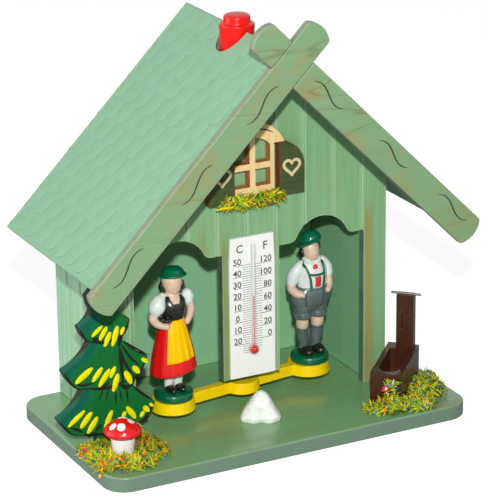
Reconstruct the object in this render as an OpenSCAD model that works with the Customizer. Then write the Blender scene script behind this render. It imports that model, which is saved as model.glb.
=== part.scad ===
// Weather house: a small wooden house whose two figures swing in and out on a gut string.
// Millimetres, +Z up, front towards -Y, origin at the centre of the base plate's underside.

/* [Base plate] */
// Width of the base plate
base_w = 140; // [130:1:160]
// Depth of the base plate
base_d = 80; // [74:1:95]
// Thickness of the base plate
base_t = 5.5; // [4:0.5:10]
// Radius of the base plate's corners
base_corner_r = 8.5; // [4:0.5:12]

/* [House walls] */
// Outside width of the house
house_w = 108; // [100:1:116]
// Porch depth, from the base's front edge to the front wall
porch_d = 34; // [32:0.5:38]
// Height of the side walls' outer faces above the base
side_wall_h = 76.6; // [70:0.2:90]
// Thickness of the front wall
front_wall_t = 3.5; // [3:0.1:4.2]
// Thickness of the side walls
side_wall_t = 6.5; // [4:0.1:7]
// Thickness of the back wall
back_wall_t = 3; // [2:0.1:4]
// Spacing of the upright plank grooves
groove_pitch = 11.4; // [8:0.2:16]
// Width of a plank groove
groove_w = 0.9; // [0.5:0.1:1.4]
// Depth of a plank groove
groove_depth = 0.5; // [0.3:0.1:0.9]
// Sideways place of the front wall's middle groove
groove_shift = -1.9; // [-4:0.1:4]

/* [Doorways] */
// Width of the wall left outside each doorway
jamb_w = 9; // [7:0.2:11]
// Width of the pillar between the doorways
pillar_w = 22.2; // [19:0.2:26]
// Gap under the pillar that the beam passes through
pillar_gap = 11.8; // [10.5:0.2:16]
// Height of the arches' shoulders above the base
arch_shoulder_h = 58.5; // [56:0.5:64]
// Rise of an arch's crown above its shoulders
arch_rise = 8.1; // [5:0.1:10]
// Radius of an arch's crown
arch_crown_r = 11; // [10:0.2:12]
// Radius that eases an arch's crown into its shoulders
arch_ease_r = 3; // [2:0.1:3.4]

/* [Roof] */
// Pitch of the roof
roof_pitch = 45; // [40:1:48]
// Thickness of the roof panels
roof_t = 4; // [3:0.1:5]
// Overhang of the eaves beyond the side walls
eave_overhang = 17.2; // [12:0.2:20]
// Overhang of the roof panels in front of the front wall
front_overhang = 28.6; // [22:0.2:32]
// Overhang of the roof panels behind the house
back_overhang = 1.4; // [0:0.1:4]

/* [Barge boards] */
// Width of the barge boards
board_w = 10.9; // [9:0.1:13]
// Thickness of the barge boards
board_t = 3.2; // [2.4:0.1:4.4]
// How far the boards stand above the roof panels
board_rise = 2.9; // [1:0.1:4]
// Length of the left board below the ridge
left_board_len = 103.2; // [95:0.2:106]
// Length of the right board below the ridge
right_board_len = 100.6; // [95:0.2:106]
// Length of the left board above the ridge
left_board_top = 11.4; // [9:0.2:15]
// Length of the right board above the ridge
right_board_top = 13; // [9:0.2:15]
// Height of the round bulge on the boards' ends
board_end_bulge = 2; // [1:0.1:3]
// Play between the two boards where they are halved together
lap_clear = 0.05; // [0.02:0.01:0.1]

/* [Chimney knob and gut] */
// Distance of the turning axis behind the front wall's face
axis_setback = 8.4; // [8:0.1:10]
// Radius of the chimney knob at its shoulder
knob_r = 6.1; // [5.4:0.1:6.6]
// Radius of the chimney knob at its foot
knob_foot_r = 5.5; // [4.8:0.1:6]
// Height of the knob's shoulder above the ridge
knob_shoulder_h = 1.7; // [1.5:0.1:5]
// Radius of the knob's cap
knob_cap_r = 4.6; // [3.6:0.1:5.2]
// Height of the knob's cap
knob_cap_h = 3; // [2.2:0.1:4.5]
// Gap between the knob and its hole in the roof
knob_gap = 1.1; // [0.6:0.1:1.6]
// Radius of the knob's shank
shank_r = 3; // [2.4:0.1:3.4]
// Running clearance of the shank in the hanger block
shank_clear = 0.06; // [0.03:0.01:0.1]
// Length of the shank below the hanger block
shank_tail = 3; // [1:0.2:6]
// Height of the hanger block under the ridge
hanger_h = 8; // [6:0.2:12]
// Width of the flat on top of the hanger block
hanger_flat_w = 12.4; // [11.4:0.2:14]
// Width of the hanger block
hanger_w = 19; // [16:0.5:26]
// Depth of the hanger block
hanger_d = 15; // [13:0.5:20]
// Radius of the gut string
gut_r = 0.5; // [0.3:0.05:0.7]
// Running clearance of the gut in the knob's bore
gut_clear = 0.05; // [0.03:0.01:0.1]
// Depth of the gut's bore up into the knob
gut_bore_depth = 16; // [12:0.5:20]

/* [Figure beam] */
// Distance of each figure from the turning axis
figure_reach = 29.3; // [26:0.1:31]
// Height of the beam above the base
beam_lift = 4; // [3:0.1:5.4]
// Thickness of the beam
beam_t = 4; // [3:0.1:5]
// Radius of the figure discs at the bottom
disc_r = 8.1; // [7.2:0.1:8.6]
// Draw-in of the beam's discs from bottom to top
disc_draft = 0.7; // [0:0.1:1]
// Radius of the hub disc at the bottom
hub_r = 6.7; // [5.5:0.1:8]
// Width of the beam's arms
arm_w = 3.5; // [2.5:0.1:5]
// Turn of the beam away from the front at rest
beam_rest_turn = 8; // [0:1:15]
// Height of the woman, foot to hat
woman_h = 48.9; // [45:0.1:50]
// Height of the man, foot to hat
man_h = 48.8; // [45:0.1:50]

/* [Thermometer] */
// Width of the thermometer card
card_w = 17.6; // [14:0.1:18.6]
// Height of the thermometer card
card_h = 52; // [46:0.5:56]
// Thickness of the thermometer card
card_t = 1; // [0.6:0.1:1.6]
// Height of the card's bottom edge above the pillar's foot
card_lift = 0.4; // [0:0.1:3]
// Outer radius of the glass tube
tube_r = 0.9; // [0.8:0.05:1.2]
// Outer radius of the glass bulb
bulb_r = 1.9; // [1.6:0.05:2.4]
// Wall of the glass
glass_wall = 0.35; // [0.25:0.05:0.45]
// Height of the bulb's centre above the card's bottom edge
bulb_lift = 10.2; // [8:0.1:14]
// Length of the tube above the bulb's centre
tube_len = 39; // [34:0.5:41]
// Height of the spirit above the bulb's centre
spirit_len = 20; // [8:0.5:32]
// Play between the spirit and the glass
spirit_clear = 0.04; // [0.02:0.01:0.08]

/* [Window] */
// Sideways place of the window's middle
window_x = -0.8; // [-3:0.1:3]
// Height of the window's sill above the base
window_sill_h = 78; // [74:0.2:82]
// Width of the window frame
window_w = 16.6; // [13:0.2:18]
// Height of the frame from the sill to the lintel
window_h = 19.4; // [16:0.2:20]
// Thickness of the window's plywood
window_t = 3.6; // [2.4:0.1:4.4]
// Height of the sill board
sill_h = 4.9; // [3:0.1:6]
// Width of the stiles
stile_w = 1.5; // [0.9:0.1:2]
// Width of the glazing bars
bar_w = 2.2; // [1.4:0.1:3]
// Radius of the arched lintel
lintel_r = 13.2; // [11.5:0.1:15]
// Height of the lintel's lower edge above the lintel arc's centre
lintel_drop = 4.8; // [3:0.1:6]
// Radius of the arch over the upper panes
pane_arch_r = 9.3; // [8.6:0.1:12]
// Height of that arch above the lintel's lower edge
pane_arch_rise = 2.8; // [1.5:0.1:4]
// How far the bars stop short of the frame's half width on the left, where the shutter closes the panes
bar_short = 1.5; // [0.5:0.1:2]
// Gap between the bars' left ends and the left shutter
left_shutter_gap = 0.1; // [0.05:0.05:0.4]
// Gap between the frame and the right shutter
shutter_gap = 2.2; // [1:0.1:3]
// Width of a shutter
shutter_w = 9.7; // [8:0.1:12]
// Height of a shutter
shutter_h = 19; // [16:0.2:19.2]
// Radius of a shutter's outer top corner
shutter_r = 9; // [6:0.1:9.6]
// Width of the clump of window flowers
window_flower_w = 27; // [22:0.5:32]
// Half height of the clump of window flowers
window_flower_r = 4.2; // [3:0.1:5]

/* [Fir tree] */
// Height of the fir tree above the base
tree_h = 65.5; // [58:0.5:70]
// Half width of the lowest branches
tree_half_w = 18.2; // [14:0.1:19]
// Thickness of the tree
tree_t = 4; // [3:0.1:5]
// Distance of the trunk outside the house's corner
tree_outset = 3.8; // [2:0.1:6]
// Half width of the trunk
trunk_half_w = 4; // [3:0.1:5]

/* [Mushroom and stone] */
// Distance of the mushroom from the base's left edge
mushroom_x = 13; // [11:0.2:16]
// Distance of the mushroom from the base's front edge
mushroom_y = 19.5; // [17:0.2:20]
// Height of the mushroom
mushroom_h = 13; // [11:0.2:16]
// Radius of the mushroom's cap
cap_r = 6.7; // [5.6:0.1:7.4]
// Radius of the mushroom's stem
stem_r = 4.2; // [3:0.1:4.8]
// Radius of the flower patch round the mushroom
patch_r = 13.6; // [10:0.2:15]
// Height of the flower patches
patch_h = 3.4; // [2:0.1:4.5]
// Radius of the heaps of flowers by the trough
heap_r = 6.8; // [5:0.1:7.4]
// Sideways place of the white stone
stone_x = -2.8; // [-8:0.2:4]
// Distance of the stone's middle from the base's front edge
stone_y = 22.6; // [18:0.2:25]
// Width of the white stone
stone_l = 14.4; // [10:0.2:16]
// Height of the white stone
stone_h = 10.8; // [8:0.2:12]
// Turn of the stone about the vertical
stone_turn = -27; // [-45:1:0]

/* [Water trough] */
// Distance of the trough's front corner inward from the house's right side
trough_x = 16.6; // [15.6:0.2:17]
// Distance of the trough's front corner before the front wall
trough_y = 18; // [17.6:0.2:19]
// Width of the trough
trough_w = 11.4; // [10.6:0.1:12]
// Length of the trough
trough_l = 25.4; // [22:0.2:26]
// Height of the trough at its front
trough_front_h = 12; // [10:0.1:13]
// Height of the trough at its back
trough_back_h = 14; // [13:0.1:16]
// Thickness of the trough's side walls
trough_wall = 1.8; // [1.2:0.1:2.4]
// Thickness of the trough's front wall
trough_lip = 2; // [1.4:0.1:3]
// Thickness of the trough's wall behind the post
trough_rear = 0.9; // [0.6:0.1:1.4]
// Thickness of the trough's floor
trough_floor = 4.6; // [2:0.1:6]
// Width of the well post
post_w = 6.2; // [5:0.1:7]
// Depth of the well post
post_d = 3.8; // [3:0.1:4.6]
// Height of the well post above the base
post_h = 34.2; // [30:0.2:40]
// Distance of the post to the right of the trough's middle
post_shift = 1.4; // [0.6:0.1:1.8]
// Play of the post in its socket
post_clear = 0.08; // [0.04:0.01:0.12]
// Distance of the recess below the post's top
recess_drop = 6.4; // [4:0.1:9]
// Height of the recess in the post
recess_h = 6.8; // [4:0.1:9]
// Width of the recess in the post
recess_w = 2.3; // [1.6:0.1:3]
// Length of the steel pin on the post
pin_l = 10.9; // [9:0.1:13]
// Radius of the steel pin
pin_r = 0.45; // [0.3:0.05:0.6]

/* [Hidden] */

$fn = 64;
eps = 0.01;

// Stations along the depth
front_edge_y = -base_d / 2;
back_edge_y = base_d / 2;
wall_y = front_edge_y + porch_d;
room_front_y = wall_y + front_wall_t;
room_back_y = back_edge_y - back_wall_t;
axis_y = wall_y + axis_setback;
roof_front_y = wall_y - front_overhang;
roof_back_y = back_edge_y + back_overhang;

// Roof section
eave_x = house_w / 2 + eave_overhang;
attic_z = base_t + side_wall_h + house_w / 2 * tan(roof_pitch);
ridge_z = attic_z + roof_t / cos(roof_pitch);

// Doorways
jamb_x = house_w / 2 - jamb_w;
door_mid_x = (jamb_x + pillar_w / 2) / 2;
door_w = jamb_x - pillar_w / 2;
shoulder_z = base_t + arch_shoulder_h;
crown_z = shoulder_z + arch_rise - arch_crown_r;
pillar_z = base_t + pillar_gap;

// Chimney knob
hole_r = knob_r + knob_gap;
hanger_top_z = attic_z - hanger_flat_w / 2 * tan(roof_pitch);
knob_foot_z = hanger_top_z + shank_clear;
knob_top_z = ridge_z + knob_shoulder_h + knob_cap_h;
shank_end_z = hanger_top_z - hanger_h - shank_tail;
gut_top_z = shank_end_z + gut_bore_depth - gut_clear;

// Beam
beam_z = base_t + beam_lift;
foot_z = beam_z + beam_t;

// Window
sill_z = base_t + window_sill_h;
lintel_z = sill_z + window_h;

// Rests a flat drawing in X and Z on the plane Y = y, with its thickness behind it
module upright(y, t) {
    translate([0, y + t, 0]) rotate([90, 0, 0]) linear_extrude(t) children();
}

// Lofted skin through elliptical sections [z, half width, half depth, x, y]
module loft(sections, n = 20) {
    count = len(sections);
    rings = [for (s = sections) for (i = [0:n - 1])
        [s[3] + s[1] * cos(360 * i / n), s[4] + s[2] * sin(360 * i / n), s[0]]];
    sides = [for (k = [0:count - 2]) for (i = [0:n - 1])
        [k * n + i, (k + 1) * n + i, (k + 1) * n + (i + 1) % n, k * n + (i + 1) % n]];
    bottom = [[for (i = [0:n - 1]) i]];
    top = [[for (i = [n - 1:-1:0]) (count - 1) * n + i]];
    polyhedron(rings, concat(sides, bottom, top), convexity = 4);
}

// Tapered limb between two round ends
module limb(a, ra, b, rb) {
    hull() {
        translate(a) sphere(ra, $fn = 16);
        translate(b) sphere(rb, $fn = 16);
    }
}

// Points of a curve from a towards c that leaves and arrives along the corner b
function bend(a, b, c, n = 6) = [for (i = [0:n - 1])
    let (t = i / n) (1 - t) * (1 - t) * a + 2 * t * (1 - t) * b + t * t * c];

// Low round mound on the base, such as a patch of flowers
module mound(r, h) {
    ball_r = (r * r + h * h) / (2 * h);
    rotate_extrude() intersection() {
        translate([0, h - ball_r]) circle(ball_r, $fn = 96);
        square([r, h]);
    }
}

module base_plate() {
    color("#6f9474") linear_extrude(base_t) hull_plate();
}

// Rectangle with round corners, drawn with true arcs
module hull_plate() {
    square([base_w - 2 * base_corner_r, base_d], center = true);
    square([base_w, base_d - 2 * base_corner_r], center = true);
    for (x = [-1, 1], y = [-1, 1])
        translate([x * (base_w / 2 - base_corner_r), y * (base_d / 2 - base_corner_r)]) circle(base_corner_r);
}

// Gable outline up to the roof's underside
module gable(half_w) {
    top_z = attic_z - half_w * tan(roof_pitch);
    polygon([[-half_w, base_t], [half_w, base_t], [half_w, top_z], [0, attic_z], [-half_w, top_z]]);
}

// One doorway: a square opening under an eased, round crown
module doorway() {
    ease_z = shoulder_z + arch_ease_r;
    reach = arch_crown_r + arch_ease_r;
    ease_x = sqrt(reach * reach - (ease_z - crown_z) * (ease_z - crown_z));
    blend = arch_crown_r / reach;
    translate([pillar_w / 2, base_t - eps]) square([door_w, arch_shoulder_h + eps]);
    translate([door_mid_x, crown_z]) circle(arch_crown_r);
    for (side = [-1, 1]) difference() {
        polygon([[door_mid_x + side * ease_x, shoulder_z - eps], [door_mid_x, crown_z],
            [door_mid_x + side * ease_x * blend, crown_z + (ease_z - crown_z) * blend],
            [door_mid_x + side * ease_x, ease_z]]);
        translate([door_mid_x + side * ease_x, ease_z]) circle(arch_ease_r);
    }
}

// Upright grooves between planks, cut into the face of a wall of width w
module plank_grooves(w, h) {
    steps = floor((w / 2 - groove_w) / groove_pitch);
    for (i = [-steps:steps])
        translate([i * groove_pitch - groove_w / 2, -eps, 0]) cube([groove_w, groove_depth + eps, h]);
}

// Round hole that the chimney knob stands in
module chimney_hole() {
    translate([0, axis_y, hanger_top_z]) cylinder(r = hole_r, h = knob_top_z - hanger_top_z);
}

module front_wall() {
    color("#7fae86") difference() {
        upright(wall_y, front_wall_t) difference() {
            gable(house_w / 2);
            doorway();
            mirror([1, 0]) doorway();
            translate([-pillar_w / 2 - eps, base_t - eps]) square([pillar_w + 2 * eps, pillar_gap + eps]);
        }
        chimney_hole();
        translate([groove_shift, wall_y, 0]) plank_grooves(house_w - 2 * abs(groove_shift), ridge_z);
    }
}

// Right side wall; the left one is its mirror image
module side_wall() {
    outer_x = house_w / 2;
    inner_x = outer_x - side_wall_t;
    depth = back_edge_y - room_front_y;
    difference() {
        upright(room_front_y, depth)
            polygon([[inner_x, base_t], [outer_x, base_t], [outer_x, base_t + side_wall_h],
                [inner_x, base_t + side_wall_h + side_wall_t * tan(roof_pitch)]]);
        translate([outer_x, room_front_y + depth / 2, 0]) rotate([0, 0, 90]) plank_grooves(depth, ridge_z);
    }
}

module right_side_wall() {
    color("#7aa680") side_wall();
}

module left_side_wall() {
    color("#7aa680") mirror([1, 0, 0]) side_wall();
}

module back_wall() {
    color("#769f7b") upright(room_back_y, back_wall_t) gable(house_w / 2 - side_wall_t);
}

// Right roof panel, mitred at the ridge and cut square at the eave
module roof_panel() {
    eave_z = ridge_z - eave_x * tan(roof_pitch);
    difference() {
        upright(roof_front_y, roof_back_y - roof_front_y)
            polygon([[0, ridge_z], [eave_x, eave_z],
                [eave_x - roof_t * sin(roof_pitch), eave_z - roof_t * cos(roof_pitch)], [0, attic_z]]);
        chimney_hole();
    }
}

module roof_right() {
    color("#93c2a3") roof_panel();
}

module roof_left() {
    color("#93c2a3") mirror([1, 0, 0]) roof_panel();
}

// Board along the right slope, measured from the ridge, with round ends
module board_outline(top, drop) {
    end_r = (board_w * board_w / 4 + board_end_bulge * board_end_bulge) / (2 * board_end_bulge);
    mid = board_rise - board_w / 2;
    inset = end_r - board_end_bulge;
    intersection() {
        translate([-top - board_end_bulge, mid - board_w / 2])
            square([top + drop + 2 * board_end_bulge, board_w]);
        union() {
            translate([-top, mid - board_w / 2]) square([top + drop, board_w]);
            translate([-top + inset, mid]) circle(end_r);
            translate([drop - inset, mid]) circle(end_r);
        }
    }
}

// Stands a board outline on the right slope at the front of the roof
module on_slope(y, t) {
    upright(y, t) translate([0, ridge_z]) rotate(-roof_pitch) children();
}

// Crossing square of the other board, mirrored from its slope
module crossing(clear) {
    far = base_w;
    mirror([1, 0]) translate([-far, board_rise - board_w - clear]) square([2 * far, board_w + 2 * clear]);
}

// Cuts half the thickness away where the other board crosses
module lap_cut(y) {
    upright(y, board_t / 2 + lap_clear) translate([0, ridge_z]) mirror([1, 0]) rotate(-roof_pitch)
        mirror([1, 0]) crossing(lap_clear);
}

module barge_board_right() {
    board_y = roof_front_y - board_t;
    color("#8fb584") difference() {
        on_slope(board_y, board_t) board_outline(right_board_top, right_board_len);
        lap_cut(board_y - lap_clear);
    }
}

module barge_board_left() {
    board_y = roof_front_y - board_t;
    color("#8fb584") mirror([1, 0, 0]) difference() {
        on_slope(board_y, board_t) board_outline(left_board_top, left_board_len);
        lap_cut(board_y + board_t / 2);
    }
}

// Block glued under the ridge: the knob's shank turns in it
module hanger_block() {
    bottom_z = hanger_top_z - hanger_h;
    side_z = attic_z - hanger_w / 2 * tan(roof_pitch);
    color("#caa77a") difference() {
        upright(room_front_y, hanger_d)
            polygon([[-hanger_w / 2, bottom_z], [hanger_w / 2, bottom_z], [hanger_w / 2, side_z],
                [hanger_flat_w / 2, hanger_top_z], [-hanger_flat_w / 2, hanger_top_z],
                [-hanger_w / 2, side_z]]);
        translate([0, axis_y, bottom_z - eps])
            cylinder(r = shank_r + shank_clear, h = hanger_h + 2 * eps);
    }
}

// Red chimney that is also the adjusting knob: the gut hangs in its shank
module chimney_knob() {
    shoulder_z = ridge_z + knob_shoulder_h;
    edge = 0.6;
    color("#e3231f") translate([0, axis_y, 0]) difference() {
        rotate_extrude() {
            polygon([[0, shank_end_z], [shank_r, shank_end_z], [shank_r, knob_foot_z],
                [knob_foot_r, knob_foot_z], [knob_r, shoulder_z - edge], [knob_r - edge, shoulder_z],
                [knob_cap_r, shoulder_z], [knob_cap_r, shoulder_z + knob_cap_h / 2],
                [0, shoulder_z + knob_cap_h / 2]]);
            intersection() {
                translate([0, shoulder_z + knob_cap_h / 2]) square([knob_cap_r, knob_cap_h / 2]);
                cap_ball_r = (knob_cap_r * knob_cap_r + knob_cap_h * knob_cap_h / 4) / knob_cap_h;
                translate([0, shoulder_z + knob_cap_h - cap_ball_r]) circle(cap_ball_r);
            }
        }
        translate([0, 0, shank_end_z - eps]) cylinder(r = gut_r + gut_clear, h = gut_bore_depth + eps);
    }
}

// Twisted gut: damp air winds it one way, dry air the other
module gut_string() {
    color("#d8c48f") translate([0, axis_y, beam_z]) cylinder(r = gut_r, h = gut_top_z - beam_z);
}

// Brings a piece that is drawn on the turning axis to its place on the beam
module on_axis() {
    translate([0, axis_y, 0]) rotate([0, 0, beam_rest_turn]) children();
}

module figure_beam() {
    color("#f7d310") on_axis() translate([0, 0, beam_z]) difference() {
        union() {
            cylinder(r1 = hub_r, r2 = hub_r - disc_draft, h = beam_t);
            for (side = [-1, 1])
                translate([side * figure_reach, 0, 0])
                    cylinder(r1 = disc_r, r2 = disc_r - disc_draft, h = beam_t);
            translate([-figure_reach, -arm_w / 2, 0]) cube([2 * figure_reach, arm_w, beam_t]);
        }
        translate([0, 0, -eps]) cylinder(r = gut_r, h = beam_t + 2 * eps);
    }
}

// Sizes of both figures are drawn for this height and scaled to the real one
figure_drawn_h = 49;

// Round foot that a figure is moulded on
module figure_foot() {
    loft([[0, 6.7, 6.7, 0, 0], [1.9, 6.7, 6.7, 0, 0], [2.8, 6.2, 6.2, 0, 0], [3.2, 5.2, 5.2, 0, 0]]);
}

module woman_shape() {
    figure_foot();
    for (s = [-1, 1]) {
        limb([s * 1.8, 0.6, 4.3], 1.5, [s * 2.1, -2.6, 4], 1.3);
        limb([s * 1.8, 0.4, 5], 1.6, [s * 1.8, 0.4, 12], 1.8);
        limb([s * 5.2, 0, 36.2], 2.5, [s * 5.9, 0.2, 33.8], 2.6);
        limb([s * 6.2, 0.3, 33], 1.5, [s * 6.6, -0.4, 29.6], 1.4);
        limb([s * 6.6, -0.4, 29.6], 1.4, [s * 4, -4, 26.6], 1.3);
    }
    loft([[10.6, 7.8, 7.2, 0, 0], [11.2, 8.1, 7.4, 0, 0], [14, 7.8, 7, 0, 0], [19, 6.9, 6.1, 0, 0],
        [24, 5.6, 4.9, 0, 0], [27.4, 4.4, 3.7, 0, 0]]);
    loft([[26.4, 4.5, 3.7, 0, 0], [30, 4.5, 3.6, 0, -0.1], [33.6, 4.9, 4.1, 0, -0.4],
        [36.8, 4.6, 3.3, 0, 0], [38.6, 2.6, 2.2, 0, 0.2]]);
    limb([0, 0.2, 38], 1.7, [0, 0, 41], 1.6);
    limb([0, -0.3, 42], 2.9, [0, -0.1, 43.4], 3.1);
    limb([0, 1.3, 43], 3, [0, 1.6, 44], 2.9);
    loft([[44.6, 4.2, 4.2, 0, 0.2], [45.2, 4.7, 4.7, 0, 0.2], [46, 4.6, 4.6, 0, 0.2],
        [46.2, 3.8, 3.8, 0, 0.3], [47.8, 3.5, 3.5, 0, 0.3], [48.6, 2.7, 2.7, 0, 0.3], [49, 1.4, 1.4, 0, 0.3]]);
}

module man_shape() {
    figure_foot();
    for (s = [-1, 1]) {
        limb([s * 2.2, 1, 4.6], 1.7, [s * 2.6, -3, 4.2], 1.5);
        limb([s * 2.3, 0.6, 5], 1.6, [s * 2.4, 0.6, 10], 2.4);
        limb([s * 2.4, 0.6, 10], 2.3, [s * 2.6, 0.2, 15], 2.1);
        limb([s * 3.2, 0.2, 18], 3.4, [s * 3.2, 0.2, 21], 3.6);
        limb([s * 5, 0.1, 36], 2.3, [s * 6.1, 0.2, 30.6], 2);
        limb([s * 6.1, 0.2, 30.6], 1.7, [s * 5.7, -2.4, 26.2], 1.5);
    }
    loft([[18, 5.9, 4.6, 0, 0.2], [20, 7, 5.2, 0, 0.2], [23.6, 7.2, 5.5, 0, 0], [26.6, 6.6, 5, 0, 0]]);
    loft([[26.2, 6.5, 5, 0, 0], [29.6, 6.3, 5, 0, -0.2], [33.4, 5.8, 4.5, 0, -0.2], [36.8, 4.9, 3.5, 0, 0],
        [38.8, 2.8, 2.4, 0, 0.2]]);
    limb([0, 0.2, 38], 2, [0, 0, 40], 1.9);
    limb([0, -0.3, 41], 3, [0, -0.2, 42.8], 3.2);
    limb([0, 1.1, 42], 2.9, [0, 1.3, 43], 2.9);
    loft([[43.3, 3.8, 3.9, 0, 0.2], [43.8, 4.3, 4.5, 0, 0.2], [44.6, 4.1, 4.3, 0, 0.2], [45, 3.5, 3.7, 0, 0.2],
        [47.4, 3.2, 3.3, 0, 0.2], [48.5, 2.4, 2.5, 0, 0.2], [49, 1.2, 1.3, 0, 0.2]]);
}

module woman_figure() {
    color("#d8232a") on_axis() translate([-figure_reach, 0, foot_z])
        scale(woman_h / figure_drawn_h) union() woman_shape();
}

module man_figure() {
    color("#5f6b70") on_axis() translate([figure_reach, 0, foot_z])
        scale(man_h / figure_drawn_h) union() man_shape();
}

card_z = pillar_z + card_lift;
card_face_y = wall_y - card_t;
tube_y = card_face_y - tube_r;
bulb_z = card_z + bulb_lift;

module thermometer_card() {
    seat = bulb_r - tube_r;
    color("#f4f4f0") difference() {
        translate([-card_w / 2, card_face_y, card_z]) cube([card_w, card_t, card_h]);
        translate([0, card_face_y - eps, bulb_z]) rotate([-90, 0, 0])
            cylinder(r = bulb_r + seat / 2, h = card_t + 2 * eps);
    }
}

// Tube and bulb of a given outside size, on the tube's axis
module thermometer_form(tube, bulb, len) {
    translate([0, tube_y, bulb_z]) {
        cylinder(r = tube, h = len);
        sphere(bulb);
    }
}

module thermometer_tube() {
    color("#e8f2f2", 0.5) difference() {
        thermometer_form(tube_r, bulb_r, tube_len);
        thermometer_form(tube_r - glass_wall, bulb_r - glass_wall, tube_len + eps);
    }
}

module thermometer_spirit() {
    inset = glass_wall + spirit_clear;
    color("#d81420") thermometer_form(tube_r - inset, bulb_r - inset, spirit_len);
}

// Plywood frame with four panes under an arched lintel; the left panes are closed by the left shutter
module window_frame() {
    half_w = window_w / 2;
    pane_h = (window_h - sill_h - bar_w) / 2;
    color("#e9c88e") upright(wall_y - window_t, window_t) translate([window_x, 0]) difference() {
        union() {
            translate([bar_short - half_w, sill_z]) square([window_w - bar_short, window_h + eps]);
            intersection() {
                translate([0, lintel_z - lintel_drop]) circle(lintel_r);
                translate([-lintel_r, lintel_z]) square([2 * lintel_r, lintel_r]);
            }
        }
        translate([0, sill_z + sill_h]) pane_pair(half_w, pane_h);
        intersection() {
            translate([0, lintel_z - pane_h]) pane_pair(half_w, pane_h + pane_arch_rise);
            translate([0, lintel_z + pane_arch_rise - pane_arch_r]) circle(pane_arch_r);
        }
    }
}

// Right pane and left pane on either side of the middle bar
module pane_pair(half_w, h) {
    translate([bar_w / 2, 0]) square([half_w - stile_w - bar_w / 2, h]);
    translate([bar_short - half_w - eps, 0]) square([half_w - bar_short - bar_w / 2 + eps, h]);
}

// Right shutter from its inner edge, square inside and round at its outer top corner
module shutter(inner_x) {
    upright(wall_y - window_t, window_t) translate([inner_x, sill_z]) {
        square([shutter_w, shutter_h - shutter_r]);
        square([shutter_w - shutter_r, shutter_h]);
        intersection() {
            translate([shutter_w - shutter_r, shutter_h - shutter_r]) circle(shutter_r);
            square([shutter_w, shutter_h]);
        }
    }
}

module right_shutter() {
    color("#39512f") translate([window_x, 0, 0]) shutter(window_w / 2 + shutter_gap);
}

module left_shutter() {
    color("#39512f") translate([window_x, 0, 0]) mirror([1, 0, 0])
        shutter(window_w / 2 - bar_short + left_shutter_gap);
}

// Clump of flowers glued across the sill
module window_flowers() {
    half = window_flower_w / 2 - window_flower_r;
    clump_y = wall_y - window_t * 0.85;
    clump_z = sill_z + sill_h - window_flower_r;
    color("#a8b420") difference() {
        translate([window_x, clump_y, clump_z]) {
            translate([-half, 0, 0]) rotate([0, 90, 0]) cylinder(r = window_flower_r, h = 2 * half);
            for (s = [-1, 1]) translate([s * half, 0, 0]) sphere(window_flower_r);
        }
        translate([-base_w / 2, wall_y, 0]) cube([base_w, base_d, ridge_z]);
        translate([-base_w / 2, wall_y - window_t, sill_z]) cube([base_w, base_d, ridge_z]);
    }
}

// Tiers of the fir from the top down: tip [half width, height], then the neck under it
tree_tiers = [[6.4, 54.2, 4.6, 49], [9.6, 43.6, 5.8, 38], [15.9, 28.9, 8.9, 21.4], [18.2, 11.7, 10.1, 4.6]];
tree_scale = [tree_half_w / tree_tiers[3][0], tree_h / 65.5];

function tip_of(i) = [tree_tiers[i][0] * tree_scale[0], tree_tiers[i][1] * tree_scale[1]];
function neck_of(i) = i < 0 ? [0, tree_h]
    : [tree_tiers[i][2] * tree_scale[0], tree_tiers[i][3] * tree_scale[1]];

// Right edge of the fir, from its top down to the foot of its trunk
function tree_side() = concat(
    [for (i = [0:len(tree_tiers) - 1])
        let (tip = tip_of(i), from = neck_of(i - 1), to = neck_of(i))
        each concat(
            bend(from, [from[0] + (tip[0] - from[0]) * 0.25, tip[1] + (from[1] - tip[1]) * 0.35], tip),
            bend(tip, [tip[0] * 0.8, to[1]], to, 4))],
    [neck_of(len(tree_tiers) - 1), [trunk_half_w, neck_of(len(tree_tiers) - 1)[1]], [trunk_half_w, 0]]);

module fir_tree() {
    half = tree_side();
    color("#0f6b35") translate([-house_w / 2 - tree_outset, 0, base_t]) upright(wall_y - tree_t, tree_t)
        polygon(concat(half, [for (i = [len(half) - 1:-1:1]) [-half[i][0], half[i][1]]]));
}

mushroom_at = [-base_w / 2 + mushroom_x, front_edge_y + mushroom_y, base_t];
cap_rim_h = mushroom_h * 0.5;

module mushroom_stem() {
    color("#f6f4ee") translate(mushroom_at) cylinder(r1 = stem_r, r2 = stem_r * 0.86, h = cap_rim_h);
}

module mushroom_cap() {
    dome_h = mushroom_h - cap_rim_h;
    dome_r = (cap_r * cap_r + dome_h * dome_h) / (2 * dome_h);
    color("#e02424") translate(mushroom_at + [0, 0, cap_rim_h]) rotate_extrude() intersection() {
        translate([0, dome_h - dome_r]) circle(dome_r);
        square([cap_r, dome_h]);
    }
}

module mushroom_flowers() {
    color("#a8b420") difference() {
        translate(mushroom_at) mound(patch_r, patch_h);
        translate(mushroom_at - [0, 0, eps])
            cylinder(r1 = stem_r + lap_clear, r2 = stem_r * 0.86 + lap_clear, h = cap_rim_h);
        translate([-base_w, wall_y - tree_t - lap_clear, 0]) cube([2 * base_w, base_d, ridge_z]);
    }
}

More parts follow.
